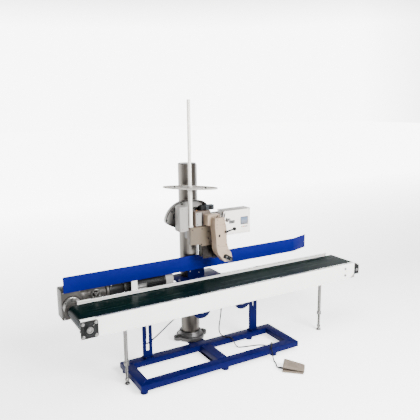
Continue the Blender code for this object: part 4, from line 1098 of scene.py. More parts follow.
def build_speed_wheel():
    """Three-spoked handwheel with a small grip."""
    low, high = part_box("speed_wheel")
    x, z = (low.x + high.x) / 2, (low.z + high.z) / 2
    rim = (high.x - low.x) / 2
    front = low.y
    wheel = Piece("speed_handwheel", "speed_wheel")
    depth = high.y - low.y
    wheel.add(tube(hoop(front + 0.003, x, z, rim - 0.0035, 48), 0.003, 12, closed=True), "zinc")
    wheel.add(lathe([(-high.y, 0.0085), (-high.y + depth * 0.55, 0.009), (-front, 0.0078)], (x, 0.0, z), -Y,
                    32, 0.0006), "zinc")
    hub_ends = hoop(front + 0.0032, x, z, 0.006, 3, 0.4)
    rim_ends = hoop(front + 0.003, x, z, rim - 0.004, 3, 0.4)
    for inner, outer in zip(hub_ends, rim_ends):
        wheel.add(tube([inner, (inner + outer) / 2, outer], [0.0026, 0.0022, 0.002], 12), "zinc")
    grip = Vector((x + (rim - 0.0035) * math.cos(1.4), front + 0.0004, z + (rim - 0.0035) * math.sin(1.4)))
    wheel.add(lathe([(0.0, 0.0022), (0.001, 0.0032)], grip, Y, 16, 0.0002), "black_plastic")
    wheel.finish("speed_wheel", slot="zinc")


def build_motor():
    """Finned motor with a flange, terminal gland and a fan cover with a slotted end."""
    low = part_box("conveyor_motor")[0]
    y, z = DRIVE_LINE
    line = (0.0, y, z)
    motor = Piece("belt_motor", "base")
    shell = [(low.x, 0.0615), (low.x + 0.0155, 0.0615), (-0.54, 0.044), (-0.468, 0.044), (-0.466, 0.048),
             (-0.192, 0.048)]
    motor.add(lathe(shell, line, X, 56, 0.001), "black_paint")
    for x in (-0.4665, -0.204):
        motor.add(lathe([(x, 0.0555), (x + 0.013, 0.0555)], line, X, 56, 0.0012), "black_paint")
    fins = 30
    for i in range(fins):
        angle = 2 * math.pi * (i + 0.5) / fins
        form = block((-0.454, -0.0011, 0.047), (-0.2035, 0.0011, 0.0556), 0.0004)
        bmesh.ops.transform(form, matrix=Matrix.Translation(line) @ Matrix.Rotation(angle, 4, "X"),
                            verts=form.verts)
        motor.add(form, "black_paint")
    for i in range(4):
        angle = math.radians(45 + 90 * i)
        spot = (low.x + 0.0155, y + 0.054 * math.cos(angle), z + 0.054 * math.sin(angle))
        motor.bolt(spot, X, 0.006, "zinc", washer=False)
        spot = (-0.4665, y + 0.05 * math.cos(angle), z + 0.05 * math.sin(angle))
        motor.bolt(spot, -X, 0.005, "zinc", washer=False)
    motor.add(lathe([(0.369, 0.0072), (0.3745, 0.0072)], (-0.449, y, 0.0), Z, 6, 0.0004), "black_plastic")
    motor.add(lathe([(0.3745, 0.0068), (0.39, 0.0078), (0.3985, 0.0085)], (-0.449, y, 0.0), Z, 28, 0.0004),
              "black_plastic")
    build_fan_cover(motor, line)
    motor.add(block((-0.39, -0.057, z - 0.018), (-0.32, -0.0535, z + 0.018), 0.0008), "zinc")
    for x in (-0.387, -0.323):
        motor.add(lathe([(0.0, 0.0018), (0.0008, 0.0012)], (x, -0.057, z), -Y, 12, 0.0002), "dark_steel")
    motor.finish("conveyor_motor", slot="black_iron")


def build_fan_cover(motor, line):
    """Pressed cover with its slots cut as ribs between rings, so the dark inside shows through."""
    start, end = -0.1905, -0.1365
    outer = 0.0595
    skirt = [(start, outer - 0.0016), (start, outer), (end - 0.006, outer), (end - 0.0018, outer - 0.0035),
             (end, outer - 0.008), (end, outer - 0.013), (end - 0.0015, outer - 0.013),
             (end - 0.003, outer - 0.008), (end - 0.007, outer - 0.0016)]
    motor.add(lathe(skirt, line, X, 64, 0.0003, closed=True), "light_grey")
    motor.add(lathe([(start - 0.002, outer - 0.006), (end - 0.012, outer - 0.006)], line, X, 48, 0.0006),
              "black_plastic")
    y, z = line[1], line[2]
    for radius in (0.012, 0.023, 0.034):
        ring = []
        for i in range(48):
            angle = 2 * math.pi * i / 48
            ring.append((end - 0.001, y + radius * math.cos(angle), z + radius * math.sin(angle)))
        motor.add(tube(ring, 0.001, 8, closed=True), "light_grey")
    for i in range(16):
        angle = 2 * math.pi * i / 16
        points = []
        for radius in (0.011, 0.029, 0.0475):
            points.append((end - 0.001, y + radius * math.cos(angle), z + radius * math.sin(angle)))
        motor.add(tube(points, 0.001, 8), "light_grey")
    motor.add(lathe([(end - 0.0022, 0.0118), (end - 0.0002, 0.011)], line, X, 32, 0.0004), "light_grey")
    for i in range(4):
        angle = math.radians(45 + 90 * i)
        direction = Vector((0.0, math.cos(angle), math.sin(angle)))
        motor.screw(Vector(line) + X * (start + 0.008) + direction * (outer - 0.0012), direction, 0.002,
                    "zinc")


# ---------------------------------------------------------------- guide, legs and wiring box

def build_guide():
    panel = shaped("bag_guide", "base", "guide_panel", "guide_blue", 0.0008, 2, 12.0)
    panel.finish("guide_panel", slot="blue_paint")
    post = shaped("guide_upright", "base", "guide_post", "white", 0.001)
    low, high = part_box("guide_post")
    middle = (low.x + high.x) / 2
    for z in (0.376, 0.412):
        post.bolt((middle, high.y, z), Y, 0.008, "zinc")
    for z in (0.515, 0.564):
        post.bolt((middle, high.y, z), Y, 0.006, "zinc")
    post.finish("guide_post", slot="white_paint")
    plate = shaped("column_tie", "base", "tie_plate", "navy", 0.001, 2, 40.0)
    low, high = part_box("tie_plate")
    for x in (low.x + 0.018, high.x - 0.018):
        plate.bolt((x, low.y + 0.008, high.z), Z, 0.008, "zinc")
    plate.finish("tie_plate", slot="navy_paint")
    bracket = shaped("guide_bracket_plate", "base", "guide_bracket", "navy", 0.0009)
    low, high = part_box("guide_bracket")
    weld(bracket, (low.x + 0.004, high.y, low.z + 0.0006), (high.x - 0.004, high.y, low.z + 0.0006), 0.0022,
         "navy")
    for x, z in ((-0.03, 0.483), (0.033, 0.467), (-0.03, 0.564), (0.06, 0.564)):
        bracket.bolt((x, low.y, z), -Y, 0.005, "zinc", washer=False)
    bracket.finish("guide_bracket", slot="navy_paint")


def thread_rings(start, end, radius, depth, pitch):
    """A profile of closely set rounded ridges from start to end."""
    points = []
    place = start
    while place + pitch <= end:
        points += [(place, radius - depth), (place + pitch * 0.4, radius), (place + pitch * 0.6, radius)]
        place += pitch
    points.append((place, radius - depth))
    return points


def build_legs():
    for side in ("left", "right"):
        low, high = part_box(f"leg_tube_{side}")
        x, y = (low.x + high.x) / 2, (low.y + high.y) / 2
        foot = (x, y, 0.0)
        bore = 0.0085
        leg = Piece(f"leg_sleeve_{side}", "base")
        sleeve = [(low.z, bore), (low.z, 0.0143), (0.1335, 0.0143), (0.1345, 0.0109),
                  (high.z - 0.0045, 0.0109), (high.z - 0.004, 0.014), (high.z - 0.0004, 0.014),
                  (high.z - 0.0004, bore)]
        leg.add(lathe(sleeve, foot, Z, 40, 0.0006, closed=True), "leg_steel")
        for turn in (0.6, 2.7):
            direction = Vector((math.cos(turn), math.sin(turn), 0.0))
            leg.screw(Vector((x, y, 0.123)) + direction * 0.0138, direction, 0.0026, "dark_steel")
        leg.finish(f"leg_tube_{side}", slot="zinc")
        low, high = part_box(f"leg_screw_{side}")
        screw = Piece(f"levelling_screw_{side}", f"leg_screw_{side}")
        screw.add(lathe([(0.012, 0.0072)] + thread_rings(0.036, high.z - 0.002, 0.0079, 0.0008, 0.002)
                        + [(high.z, 0.0062)], foot, Z, 24, 0.0), "zinc")
        screw.add(lathe([(0.0212, 0.0128), (0.0338, 0.0128)], foot, Z, 6, 0.0011), "zinc")
        reach = (high.x - low.x) / 2
        pad = [(0.0, reach - 0.0012), (0.0012, reach), (0.005, reach)]
        screw.add(lathe(pad, foot, Z, 40, 0.0004), "black_rubber")
        dome = [(0.0048, reach - 0.0004), (0.0082, reach - 0.001), (0.0115, reach * 0.74), (0.015, 0.0085)]
        screw.add(lathe(dome, foot, Z, 40, 0.0006), "leg_steel")
        screw.finish(f"leg_screw_{side}", slot="zinc")


def build_junction_box():
    case = shaped("wiring_box", "base", "junction_box", "grey_plastic", 0.0022, 3)
    bottom = 0.275
    left, right, front, back = 0.06, 0.14, -0.25, -0.15
    case.add(block((left + 0.004, front + 0.004, bottom - 0.0018),
                   (right - 0.026, back - 0.004, bottom + 0.001), 0.001), "grey_plastic")
    for x in (left + 0.008, right - 0.031):
        for y in (front + 0.009, back - 0.009):
            case.screw((x, y, bottom - 0.0017), -Z, 0.0024, "zinc")
    case.add(lathe([(0.2612, 0.0086), (0.268, 0.0086)], (0.122, -0.2, 0.0), Z, 6, 0.0005), "black_plastic")
    case.add(lathe([(0.0, 0.0088), (0.0052, 0.0088)], (left - 0.0048, -0.185, 0.295), X, 6, 0.0005),
             "black_plastic")
    case.finish("junction_box", slot="light_grey")


# ---------------------------------------------------------------- head: carriage, lift and bed

SLEEVE_RADIUS = 0.0745
PINION_AXIS = (0.0855, 0.86)      # x and z
CRANK_REACH = 0.098


def build_carriage():
    """Split clamp sleeve with its arm, pinion case and bracket."""
    carriage = shaped("head_carriage", "head", "carriage", "carriage_cast", 0.0016, 2, 32.0)
    inner, outer = SLEEVE_RADIUS - 0.002, SLEEVE_RADIUS + 0.0016
    for z in (0.8015, 0.9085):
        ring = [(z, inner), (z, outer), (z + 0.005, outer), (z + 0.005, inner)]
        carriage.add(lathe(ring, (0.0, 0.0, 0.0), Z, 72, 0.0006, closed=True), "carriage_cast")
    lug_low, lug_high = -0.0935, -0.07
    for y in (-0.011, 0.004):
        carriage.add(block((lug_low, y, 0.83), (lug_high, y + 0.007, 0.9), 0.002, 3), "carriage_cast")
    carriage.add(block((lug_low + 0.004, -0.004, 0.831), (lug_high, 0.004, 0.899), 0.0003), "black_rubber")
    for z in (0.845, 0.885):
        carriage.bolt((-0.0845, -0.011, z), -Y, 0.008, "zinc")
        carriage.bolt((-0.0845, 0.011, z), Y, 0.008, "zinc")
    for side in (-1.0, 1.0):
        for z in (0.722, 0.762):
            carriage.bolt((side * 0.045, -0.095, z), side * X, 0.007, "zinc")
    for x in (0.057, 0.107):
        for z in (0.8345, 0.8855):
            carriage.screw((x, 0.03, z), Y, 0.0028, "zinc")
    for x in (0.225, 0.255, 0.32):
        carriage.bolt((x, -0.0137, 0.8215), Y, 0.006, "zinc")
    carriage.add(block((0.058, -0.0322, 0.834), (0.113, -0.0298, 0.886), 0.0008), "dark_steel")
    carriage.finish("carriage", slot="cast_aluminium")


def build_lift_crank():
    """Pinion, its shaft, and a flat crank with a turned grip."""
    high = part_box("lift_pinion")[1]
    axis_x, axis_z = PINION_AXIS
    centre = (axis_x, 0.0, axis_z)
    crank = Piece("lift_crank_handle", "lift_pinion")
    crank.add(lathe([(-0.034, 0.0058), (high.y - 0.06, 0.0058)], centre, Y, 28, 0.0006), "turned_steel")
    teeth = 18
    outline = []
    for i in range(teeth):
        for share, radius in ((0.0, 0.014), (0.26, 0.0143), (0.42, 0.0173), (0.58, 0.0173), (0.74, 0.0143)):
            angle = 2 * math.pi * (i + share) / teeth
            outline.append((axis_x + radius * math.cos(angle), axis_z + radius * math.sin(angle)))
    crank.add(slab("XZ", [outline], -0.0103, 0.0103, 0.0), "zinc")
    arm_low, arm_high = 0.0792, 0.0868
    grip_x = axis_x - CRANK_REACH
    run = band_outline((grip_x, axis_z), (axis_x, axis_z), 0.0085, 0.0088, 20)
    crank.add(slab("XZ", [run], arm_low, arm_high, 0.0012, 3), "zinc")
    crank.add(lathe([(arm_high - 0.001, 0.0088), (arm_high + 0.0035, 0.008), (arm_high + 0.005, 0.006)],
                    centre, Y, 32, 0.0006), "zinc")
    grip = [(arm_high - 0.004, 0.006), (arm_high + 0.001, 0.006), (arm_high + 0.0012, 0.0085),
            (arm_high + 0.018, 0.0089), (arm_high + 0.04, 0.0078), (high.y - 0.006, 0.0086),
            (high.y - 0.001, 0.007)]
    crank.add(lathe(grip, (grip_x, 0.0, axis_z), Y, 36, 0.0016), "black_plastic")
    crank.finish("lift_pinion", slot="dark_steel")


LOOPER_AXIS = (0.045, -0.147)      # x and y
NEEDLE_AXIS = (0.112, 0.612)       # x and z
PRESSER_AXIS = (0.142, 0.592)      # x and z


def build_bed():
    casing = Piece("bed_case", "head")
    low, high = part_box("bed_casing")
    top = 0.79
    side = [(-0.073, 0.6845), (-0.006, 0.679), (0.003, 0.67), (0.066, 0.67), (0.066, top), (-0.073, top)]
    hollow = [(-0.066, 0.69), (0.059, 0.69), (0.059, 0.784), (-0.066, 0.784)]
    casing.add(slab("XZ", [side, hollow], -0.1685, -0.13, 0.002, 3), "bed_beige")
    casing.add(slab("XZ", [side], -0.1304, high.y, 0.0034, 4), "bed_beige")
    cup = [(0.004, low.z), (0.01, low.z), (0.01, 0.65), (0.136, 0.65), (0.136, low.z), (0.142, low.z),
           (0.142, 0.672), (0.004, 0.672)]
    casing.add(slab("XZ", [cup], -0.1685, -0.1311, 0.0016, 3), "case_dark")
    casing.add(block((0.004, -0.1315, low.z), (0.142, -0.1265, 0.672), 0.0016, 3), "case_dark")
    for z in (0.69, 0.73, 0.77):
        casing.add(block((low.x - 0.001, -0.162, z - 0.006), (low.x + 0.002, -0.13, z + 0.006), 0.0014, 3),
                   "bed_beige")
    casing.screw((low.x + 0.02, high.y - 0.0004, 0.705), Y, 0.0045, "dark_steel")
    casing.screw((0.12, high.y - 0.0024, 0.64), Y, 0.0035, "dark_steel")
    casing.finish("bed_casing", slot="beige_enamel")


def build_bed_cover():
    low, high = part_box("bed_cover")
    cover = Piece("bed_front_cover", "head")
    edge = [(low.x, 0.6845), (-0.006, 0.679), (0.003, low.z), (high.x, low.z), (high.x, high.z),
            (low.x, high.z)]
    cover.add(slab("XZ", [edge], low.y, high.y, 0.0012, 3), "bed_beige")
    for x, z in ((0.006, 0.776), (0.0516, 0.7545), (0.051, 0.713), (0.0006, 0.68), (-0.058, 0.776),
                 (-0.058, 0.682)):
        cover.screw((x, low.y - 0.0005, z), -Y, 0.004, "dark_steel")
    cover.finish("bed_cover", slot="beige_enamel")


def build_needle_plate():
    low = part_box("throat_plate")[0]
    plate = shaped("needle_plate", "head", "throat_plate", "dark_steel", 0.0005, 2, 40.0)
    for x, z in ((0.022, 0.657), (0.14, 0.657), (0.022, 0.598), (0.14, 0.64)):
        plate.screw((x, low.y + 0.0003, z), -Y, 0.0026, "dark_steel")
    plate.finish("throat_plate", slot="zinc")


def build_feed_dog():
    low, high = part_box("feed_dog")
    dog = shaped("feed_teeth", "feed_dog", "feed_dog", "dark_steel", 0.0003)
    left, right = low.x, high.x
    pitch = 0.0018
    for row in (0, 1):
        z_low = low.z + 0.0004 + row * 0.0044
        outline = [(left + 0.0004, low.y + 0.001)]
        x = left + 0.0004
        while x + pitch < right:
            outline += [(x + pitch * 0.75, low.y - 0.0004), (x + pitch, low.y + 0.001)]
            x += pitch
        outline += [(x, low.y + 0.003), (left + 0.0004, low.y + 0.003)]
        dog.add(slab("XY", [outline], z_low, z_low + 0.0028, 0.0), "zinc")
    dog.finish("feed_dog", slot="dark_steel")


def build_looper():
    x, y = LOOPER_AXIS
    looper = shaped("looper_arm", "looper", "looper", "turned_steel", 0.0009, 2, 40.0)
    for z in (0.604, 0.7215):
        looper.add(lathe([(z, 0.0072), (z + 0.01, 0.0072)], (x, y, 0.0), Z, 28, 0.0008), "dark_steel")
    blade = [(x + 0.052, y - 0.008), (x + 0.0665, y - 0.006), (x + 0.056, y - 0.003)]
    looper.add(slab("XY", [blade], 0.6075, 0.6115, 0.0004), "zinc")
    looper.finish("looper", slot="dark_steel")


def build_slot_shade_sheet():
    """Black strip across the bag slot's back, between the rear housing and the looper case: painted shade, a
    dark sheet where the gap is in shadow.
    """
    shade_sheet = Piece("slot_shade_sheet", "head")
    strip = [(0.0785, 0.79), (0.064, 0.785), (0.064, 0.66), (0.108, 0.66), (0.102, 0.72), (0.1, 0.815),
             (0.0785, 0.815)]
    shade_sheet.add(slab("XZ", [strip], -0.1236, -0.1206, 0.0008), "black_rubber")
    for x, z in ((0.09, 0.808), (0.096, 0.67)):
        shade_sheet.screw((x, -0.1234, z), -Y, 0.0026, "dark_steel")
    shade_sheet.finish()


def build_rear_housing():
    low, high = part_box("rear_housing")
    housing = shaped("shaft_housing", "head", "rear_housing", "case_brown", 0.0055, 4)
    band_low, band_high = low.y - 0.0008, low.y + 0.003
    housing.add(block((-0.03, band_low, 0.796), (0.0088, band_high, high.z - 0.008), 0.0012, 3), "light_grey")
    housing.add(block((0.0092, band_low, 0.796), (0.0178, band_high, high.z - 0.008), 0.0008, 2),
                "black_paint")
    for z in (0.806, 0.868):
        housing.screw((-0.02, band_low + 0.0002, z), -Y, 0.0034, "dark_steel")
        housing.screw((0.056, low.y + 0.0002, z), -Y, 0.0034, "zinc")
    oiler = (-0.012, -0.14, high.z - 0.0006)
    housing.add(lathe([(0.0, 0.005), (0.004, 0.005), (0.004, 0.0038), (0.008, 0.0046), (0.0095, 0.003)],
                      oiler, Z, 24, 0.0004), "bronze")
    housing.finish("rear_housing", slot="beige_enamel")


ARM_LEFT = [(0.574, 0.11), (0.632, 0.062), (0.66, 0.054), (0.715, 0.052), (0.8, 0.044), (0.852, 0.048)]
ARM_RIGHT = [(0.574, 0.158), (0.6, 0.162), (0.628, 0.156), (0.655, 0.138), (0.69, 0.13), (0.77, 0.126),
             (0.852, 0.116)]


def side_at(side, z):
    """How far along X a side of the arm's outline stands at a height."""
    for (low, start), (high, end) in zip(side, side[1:]):
        if z <= high:
            return start + (end - start) * (z - low) / (high - low)
    return side[-1][1]


def arm_step(low, high):
    """The arm's outline between two heights."""
    heights = sorted({low, high, *(z for z, _ in ARM_LEFT + ARM_RIGHT if low < z < high)})
    left = [(side_at(ARM_LEFT, z), z) for z in heights]
    right = [(side_at(ARM_RIGHT, z), z) for z in reversed(heights)]
    return left + right


def build_arm():
    """Arm in three steps, each one standing further out, with its bridge, covers and thread guides."""
    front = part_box("arm_casting")[0].y
    back = -0.207
    arm = Piece("needle_arm", "head")
    for start, end, inward in ((0.574, 0.674, 0.0), (0.668, 0.808, 0.003), (0.8, 0.852, 0.0065)):
        arm.add(slab("XZ", [arm_step(start, end)], front + inward, back, 0.003, 4), "arm_beige")
    arm.add(block((0.024, -0.215, 0.8), (0.112, -0.1653, 0.866), 0.005, 4), "arm_beige")
    face = front + 0.003
    for height, material in ((0.0012, "arm_beige"), (0.0016, "black_rubber")):
        radius = 0.0112 if material == "arm_beige" else 0.0082
        ring = lathe([(-face - 0.0004, radius), (-face + height, radius)], (0.0, 0.0, 0.0), -Y, 40, 0.0004)
        bmesh.ops.scale(ring, vec=(0.85, 1.0, 1.1), verts=ring.verts)
        bmesh.ops.translate(ring, vec=(0.074, 0.0, 0.7438), verts=ring.verts)
        arm.add(ring, material)
    for x, z, depth in ((0.062, 0.842, 0.0065), (0.106, 0.842, 0.0065), (0.06, 0.813, 0.0065),
                        (0.11, 0.813, 0.0065), (0.056, 0.795, 0.003), (0.115, 0.795, 0.003),
                        (0.064, 0.685, 0.003), (0.12, 0.685, 0.003)):
        arm.screw((x, front + depth + 0.0004, z), -Y, 0.0028, "dark_steel")
    for x, z_low, z_high in ((0.111, 0.848, 0.883), (0.128, 0.838, 0.872), (0.076, 0.848, 0.868)):
        points = [(x - 0.01, -0.24, z_low), (x - 0.002, -0.24, z_low + 0.006), (x, -0.24, z_high - 0.006),
                  (x + 0.0014, -0.24, z_high)]
        arm.add(tube(points, [0.0034, 0.0034, 0.0032, 0.0024], 12), "black_paint")
    for x in (0.058, 0.092):
        arm.add(tube(hoop(-0.248, x, 0.856, 0.006, 20), 0.0012, 8, closed=True), "zinc")
    build_nose(arm, front)
    arm.finish("arm_casting", slot="beige_enamel")


def build_nose(arm, front):
    """Bushes, clamp screws and thread hooks on the arm's nose."""
    for (x, z), radius in ((NEEDLE_AXIS, 0.0092), (PRESSER_AXIS, 0.0074)):
        bore = radius * 0.6
        bush = [(-front - 0.002, bore), (-front - 0.002, radius), (-front + 0.0036, radius),
                (-front + 0.0036, bore)]
        arm.add(lathe(bush, (x, 0.0, z), -Y, 32, 0.0005, closed=True), "dark_steel")
    plate = [(0.098, 0.603), (0.104, 0.621), (0.118, 0.624), (0.15, 0.604), (0.166, 0.59), (0.164, 0.579),
             (0.148, 0.578)]
    holes = [arc(NEEDLE_AXIS, 0.0064, 0, 345, 23), arc(PRESSER_AXIS, 0.0054, 0, 345, 23)]
    arm.add(slab("XZ", [plate] + holes, front - 0.005, front - 0.0002, 0.0006), "black_paint")
    spring = [(0.114, front - 0.004, 0.596), (0.124, front - 0.007, 0.584), (0.14, front - 0.009, 0.5765),
              (0.16, front - 0.006, 0.5745)]
    arm.add(tube(smooth_route(spring, 0.002), 0.0022, 10), "zinc")
    arm.screw((0.156, -0.24, 0.6115), X, 0.0036, "dark_steel")
    arm.screw((0.088, -0.24, 0.601), Vector((-0.75, 0.0, -0.62)), 0.0034, "dark_steel")
    hook = [(0.126, front + 0.001, 0.648), (0.126, front - 0.006, 0.648), (0.13, front - 0.0095, 0.645),
            (0.136, front - 0.0095, 0.64), (0.137, front - 0.0085, 0.634)]
    arm.add(tube(smooth_route(hook, 0.0015), 0.001, 8), "zinc")
    hook = [(0.094, front + 0.001, 0.64), (0.094, front - 0.005, 0.64), (0.098, front - 0.008, 0.636),
            (0.104, front - 0.008, 0.632)]
    arm.add(tube(smooth_route(hook, 0.0015), 0.001, 8), "zinc")


def build_needle_bar():
    x, z = NEEDLE_AXIS
    low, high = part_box("needle_bar")
    bar = Piece("needle_and_bar", "needle_bar")
    bar.add(lathe([(-high.y + 0.0225, 0.0047), (-low.y, 0.0047)], (x, 0.0, z), -Y, 28, 0.0009),
            "turned_steel")
    bar.add(lathe([(-high.y, 0.0003), (-high.y + 0.004, 0.0009), (-high.y + 0.0232, 0.0011)], (x, 0.0, z),
                  -Y, 16, 0.0), "zinc")
    clamp = -high.y + 0.0235
    bar.add(lathe([(clamp, 0.0049), (clamp + 0.006, 0.0049)], (x, 0.0, z), -Y, 24, 0.0005), "dark_steel")
    bar.finish("needle_bar", slot="dark_steel")


def build_presser_foot():
    x, z = PRESSER_AXIS
    low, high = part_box("presser_foot")
    foot = Piece("presser_foot_sole", "presser_foot")
    foot.add(lathe([(-high.y + 0.003, 0.0038), (-low.y, 0.0038)], (x, 0.0, z), -Y, 24, 0.0008),
             "turned_steel")
    sole_low, sole_high = -0.1762, -0.1722
    outline = [(0.0762, 0.581), (0.079, 0.5792), (0.158, 0.5792), (0.1675, 0.585), (0.1675, 0.6),
               (0.158, 0.6048), (0.079, 0.6048), (0.0762, 0.603)]
    foot.add(slab("XZ", [outline], sole_low, sole_high, 0.0009, 3), "black_paint")
    foot.add(block((x - 0.008, -0.184, z - 0.006), (x + 0.008, -0.1755, z + 0.006), 0.0016, 3), "black_paint")
    foot.screw((x, -0.18, z + 0.0056), Z, 0.0028, "zinc")
    foot.finish("presser_foot", slot="black_iron")


def build_tension_knob():
    low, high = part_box("tension_knob")
    y, z = (low.y + high.y) / 2, (low.z + high.z) / 2
    knob = Piece("thread_tension_knob", "tension_knob")
    along = (0.0, y, z)
    knob.add(lathe([(low.x, 0.0038), (0.13, 0.0038)], along, X, 20, 0.0003), "zinc")
    for disc in ([(0.1295, 0.005), (0.1312, 0.0125), (0.1328, 0.0128), (0.1336, 0.007)],
                 [(0.1334, 0.007), (0.1344, 0.0128), (0.136, 0.0125), (0.1378, 0.005)]):
        knob.add(lathe(disc, along, X, 40, 0.0003), "zinc")
    for i in range(4):
        knob.add(lathe([(0.1376 + 0.0014 * i, 0.0052), (0.1384 + 0.0014 * i, 0.0056)], along, X, 24, 0.0002),
                 "dark_steel")
    ribs = []
    for i in range(48):
        radius = 0.0098 if i % 2 else 0.0089
        angle = 2 * math.pi * i / 48
        ribs.append((y + radius * math.cos(angle), z + radius * math.sin(angle)))
    knob.add(slab("YZ", [ribs], 0.1428, high.x - 0.001, 0.0004), "zinc")
    knob.add(lathe([(high.x - 0.0012, 0.008), (high.x, 0.007)], along, X, 32, 0.0004), "turned_steel")
    knob.finish("tension_knob", slot="dark_steel")


def build_presser_lever():
    pivot = Vector((0.119, -0.2727, 0.764))
    tip = Vector((0.1783, -0.2727, 0.775))
    lever = Piece("presser_lift_lever", "presser_lever")
    outline = []
    run = (tip - pivot).normalized()
    side = Vector((-run.z, 0.0, run.x))
    halves = [(0.0, 0.007), (0.3, 0.0046), (0.8, 0.004), (1.0, 0.0048)]
    for edge, stations in ((-1.0, halves), (1.0, halves[::-1])):
        for share, half in stations:
            point = pivot.lerp(tip, share) + side * half * edge
            outline.append((point.x, point.z))
    lever.add(slab("XZ", [outline], pivot.y - 0.0021, pivot.y + 0.0021, 0.0008, 3), "black_paint")
    lever.add(lathe([(-pivot.y - 0.0021, 0.0086), (-pivot.y + 0.003, 0.0086), (-pivot.y + 0.007, 0.006)],
                    (pivot.x, 0.0, pivot.z), -Y, 36, 0.0006), "black_paint")
    lever.screw((pivot.x, pivot.y - 0.0046, pivot.z), -Y, 0.0036, "zinc")
    knob = [(-tip.y - 0.01, 0.006), (-tip.y - 0.007, 0.01), (-tip.y, 0.0113), (-tip.y + 0.007, 0.01),
            (-tip.y + 0.01, 0.006)]
    lever.add(lathe(knob, (tip.x, 0.0, tip.z), -Y, 40, 0.002), "black_plastic")
    lever.finish("presser_lever", slot="black_iron")


# ---------------------------------------------------------------- head drive, guard and fittings

MOTOR_PULLEY = (-0.12, 0.852, 0.03)     # x, z and rim radius
MAIN_PULLEY = (0.02, 0.85, 0.055)
BELT_FAR, BELT_NEAR = -0.0925, -0.1005
GROOVE = 0.0085


def build_pulley(node, name, placed, shaft, holes):
    """A V-grooved pulley with a thin web, lightening holes and a hub."""
    x, z, rim = placed
    low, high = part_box(node)
    axis = (x, 0.0, z)
    start, end = -BELT_FAR - 0.0055, -BELT_NEAR + 0.0055
    floor = rim - GROOVE - 0.0004
    flank = 0.0024
    hub = shaft + 0.0065
    inner = rim - GROOVE - 0.0045
    pulley = Piece(name, node)
    rim_profile = [(start, inner), (start, rim), (start + 0.002, rim), (start + 0.002 + flank, floor),
                   (end - 0.002 - flank, floor), (end - 0.002, rim), (end, rim), (end, inner)]
    pulley.add(lathe(rim_profile, axis, -Y, 64, 0.0004, closed=True), "turned_steel")
    web_low, web_high = (start + end) / 2 - 0.002, (start + end) / 2 + 0.002
    if holes:
        outline = [arc((x, z), inner + 0.0005, 0, 352.5, 47)]
        middle = (hub + inner) / 2
        reach = (inner - hub) * 0.3
        for i in range(holes):
            angle = 2 * math.pi * i / holes
            outline.append(arc((x + middle * math.cos(angle), z + middle * math.sin(angle)), reach, 0,
                               337.5, 15))
        pulley.add(slab("XZ", outline, -web_high, -web_low, 0.0003), "gear_grey")
    else:
        pulley.add(lathe([(web_low, inner + 0.0005), (web_high, inner + 0.0005)], axis, -Y, 40, 0.0003),
                   "gear_grey")
    pulley.add(lathe([(start - 0.0002, hub), (end + 0.0002, hub)], axis, -Y, 36, 0.0006), "turned_steel")
    pulley.add(lathe([(-high.y, shaft - 0.0002), (-low.y, shaft - 0.0002)], axis, -Y, 28, 0.0006),
               "dark_steel")
    pulley.screw((x, (-start - end) / 2 - 0.0044, z + hub - 0.0004), Z, 0.0015, "dark_steel")
    pulley.finish(node, slot="dark_steel")


def build_drive_belt():
    """V-belt round both pulleys, cogged on its inside."""
    near, far = BELT_NEAR, BELT_FAR
    first, second = MOTOR_PULLEY[:2], MAIN_PULLEY[:2]
    motor_in = MOTOR_PULLEY[2] - GROOVE + 0.001
    main_in = MAIN_PULLEY[2] - GROOVE + 0.001
    thick = 0.006
    belt = Piece("v_belt", "head")
    outer = band_outline(first, second, motor_in + thick, main_in + thick, 40)
    middle = band_outline(first, second, motor_in + 0.003, main_in + 0.003, 40)
    inner = band_outline(first, second, motor_in, main_in, 40)
    belt.add(slab("XZ", [outer, middle], near + 0.0001, far - 0.0001, 0.0003), "black_rubber")
    belt.add(slab("XZ", [middle, inner], near + 0.0014, far - 0.0014, 0.0), "black_rubber")
    belt.finish("drive_belt", slot="rubber")


GUARD_LEFT_ARC = (-0.065, 0.805, 0.145)
GUARD_RIGHT_ARC = (0.02, 0.872, 0.071)
GUARD_BOTTOM = 0.79
GUARD_CHIN_TOP = 0.84
GUARD_CHIN = [(-0.13, 0.7905), (-0.15, 0.795), (-0.17, 0.803), (-0.19, 0.815), (-0.202, 0.827)]


def guard_line(inset, count=56):
    """The guard's outline, drawn in by inset: two arcs over the pulleys, a flat bottom and a rounded chin."""
    left, right = GUARD_LEFT_ARC, GUARD_RIGHT_ARC
    left_radius, right_radius = left[2] - inset, right[2] - inset
    run = math.hypot(right[0] - left[0], right[1] - left[1])
    slope = math.degrees(math.atan2(right[1] - left[1], right[0] - left[0]))
    lean = slope + math.degrees(math.acos((left_radius - right_radius) / run))
    bottom = GUARD_BOTTOM + inset
    start = 180 + math.degrees(math.asin((left[1] - bottom) / left_radius))
    chin = [(x + inset * 0.5, max(z + inset, bottom)) for x, z in GUARD_CHIN]
    round_left = [(x, z) for x, z in arc(left[:2], left_radius, start, lean, count) if z > GUARD_CHIN_TOP]
    round_right = arc(right[:2], right_radius, lean, 0, count // 2)
    return chin + round_left + round_right + [(right[0] + right_radius, bottom)]


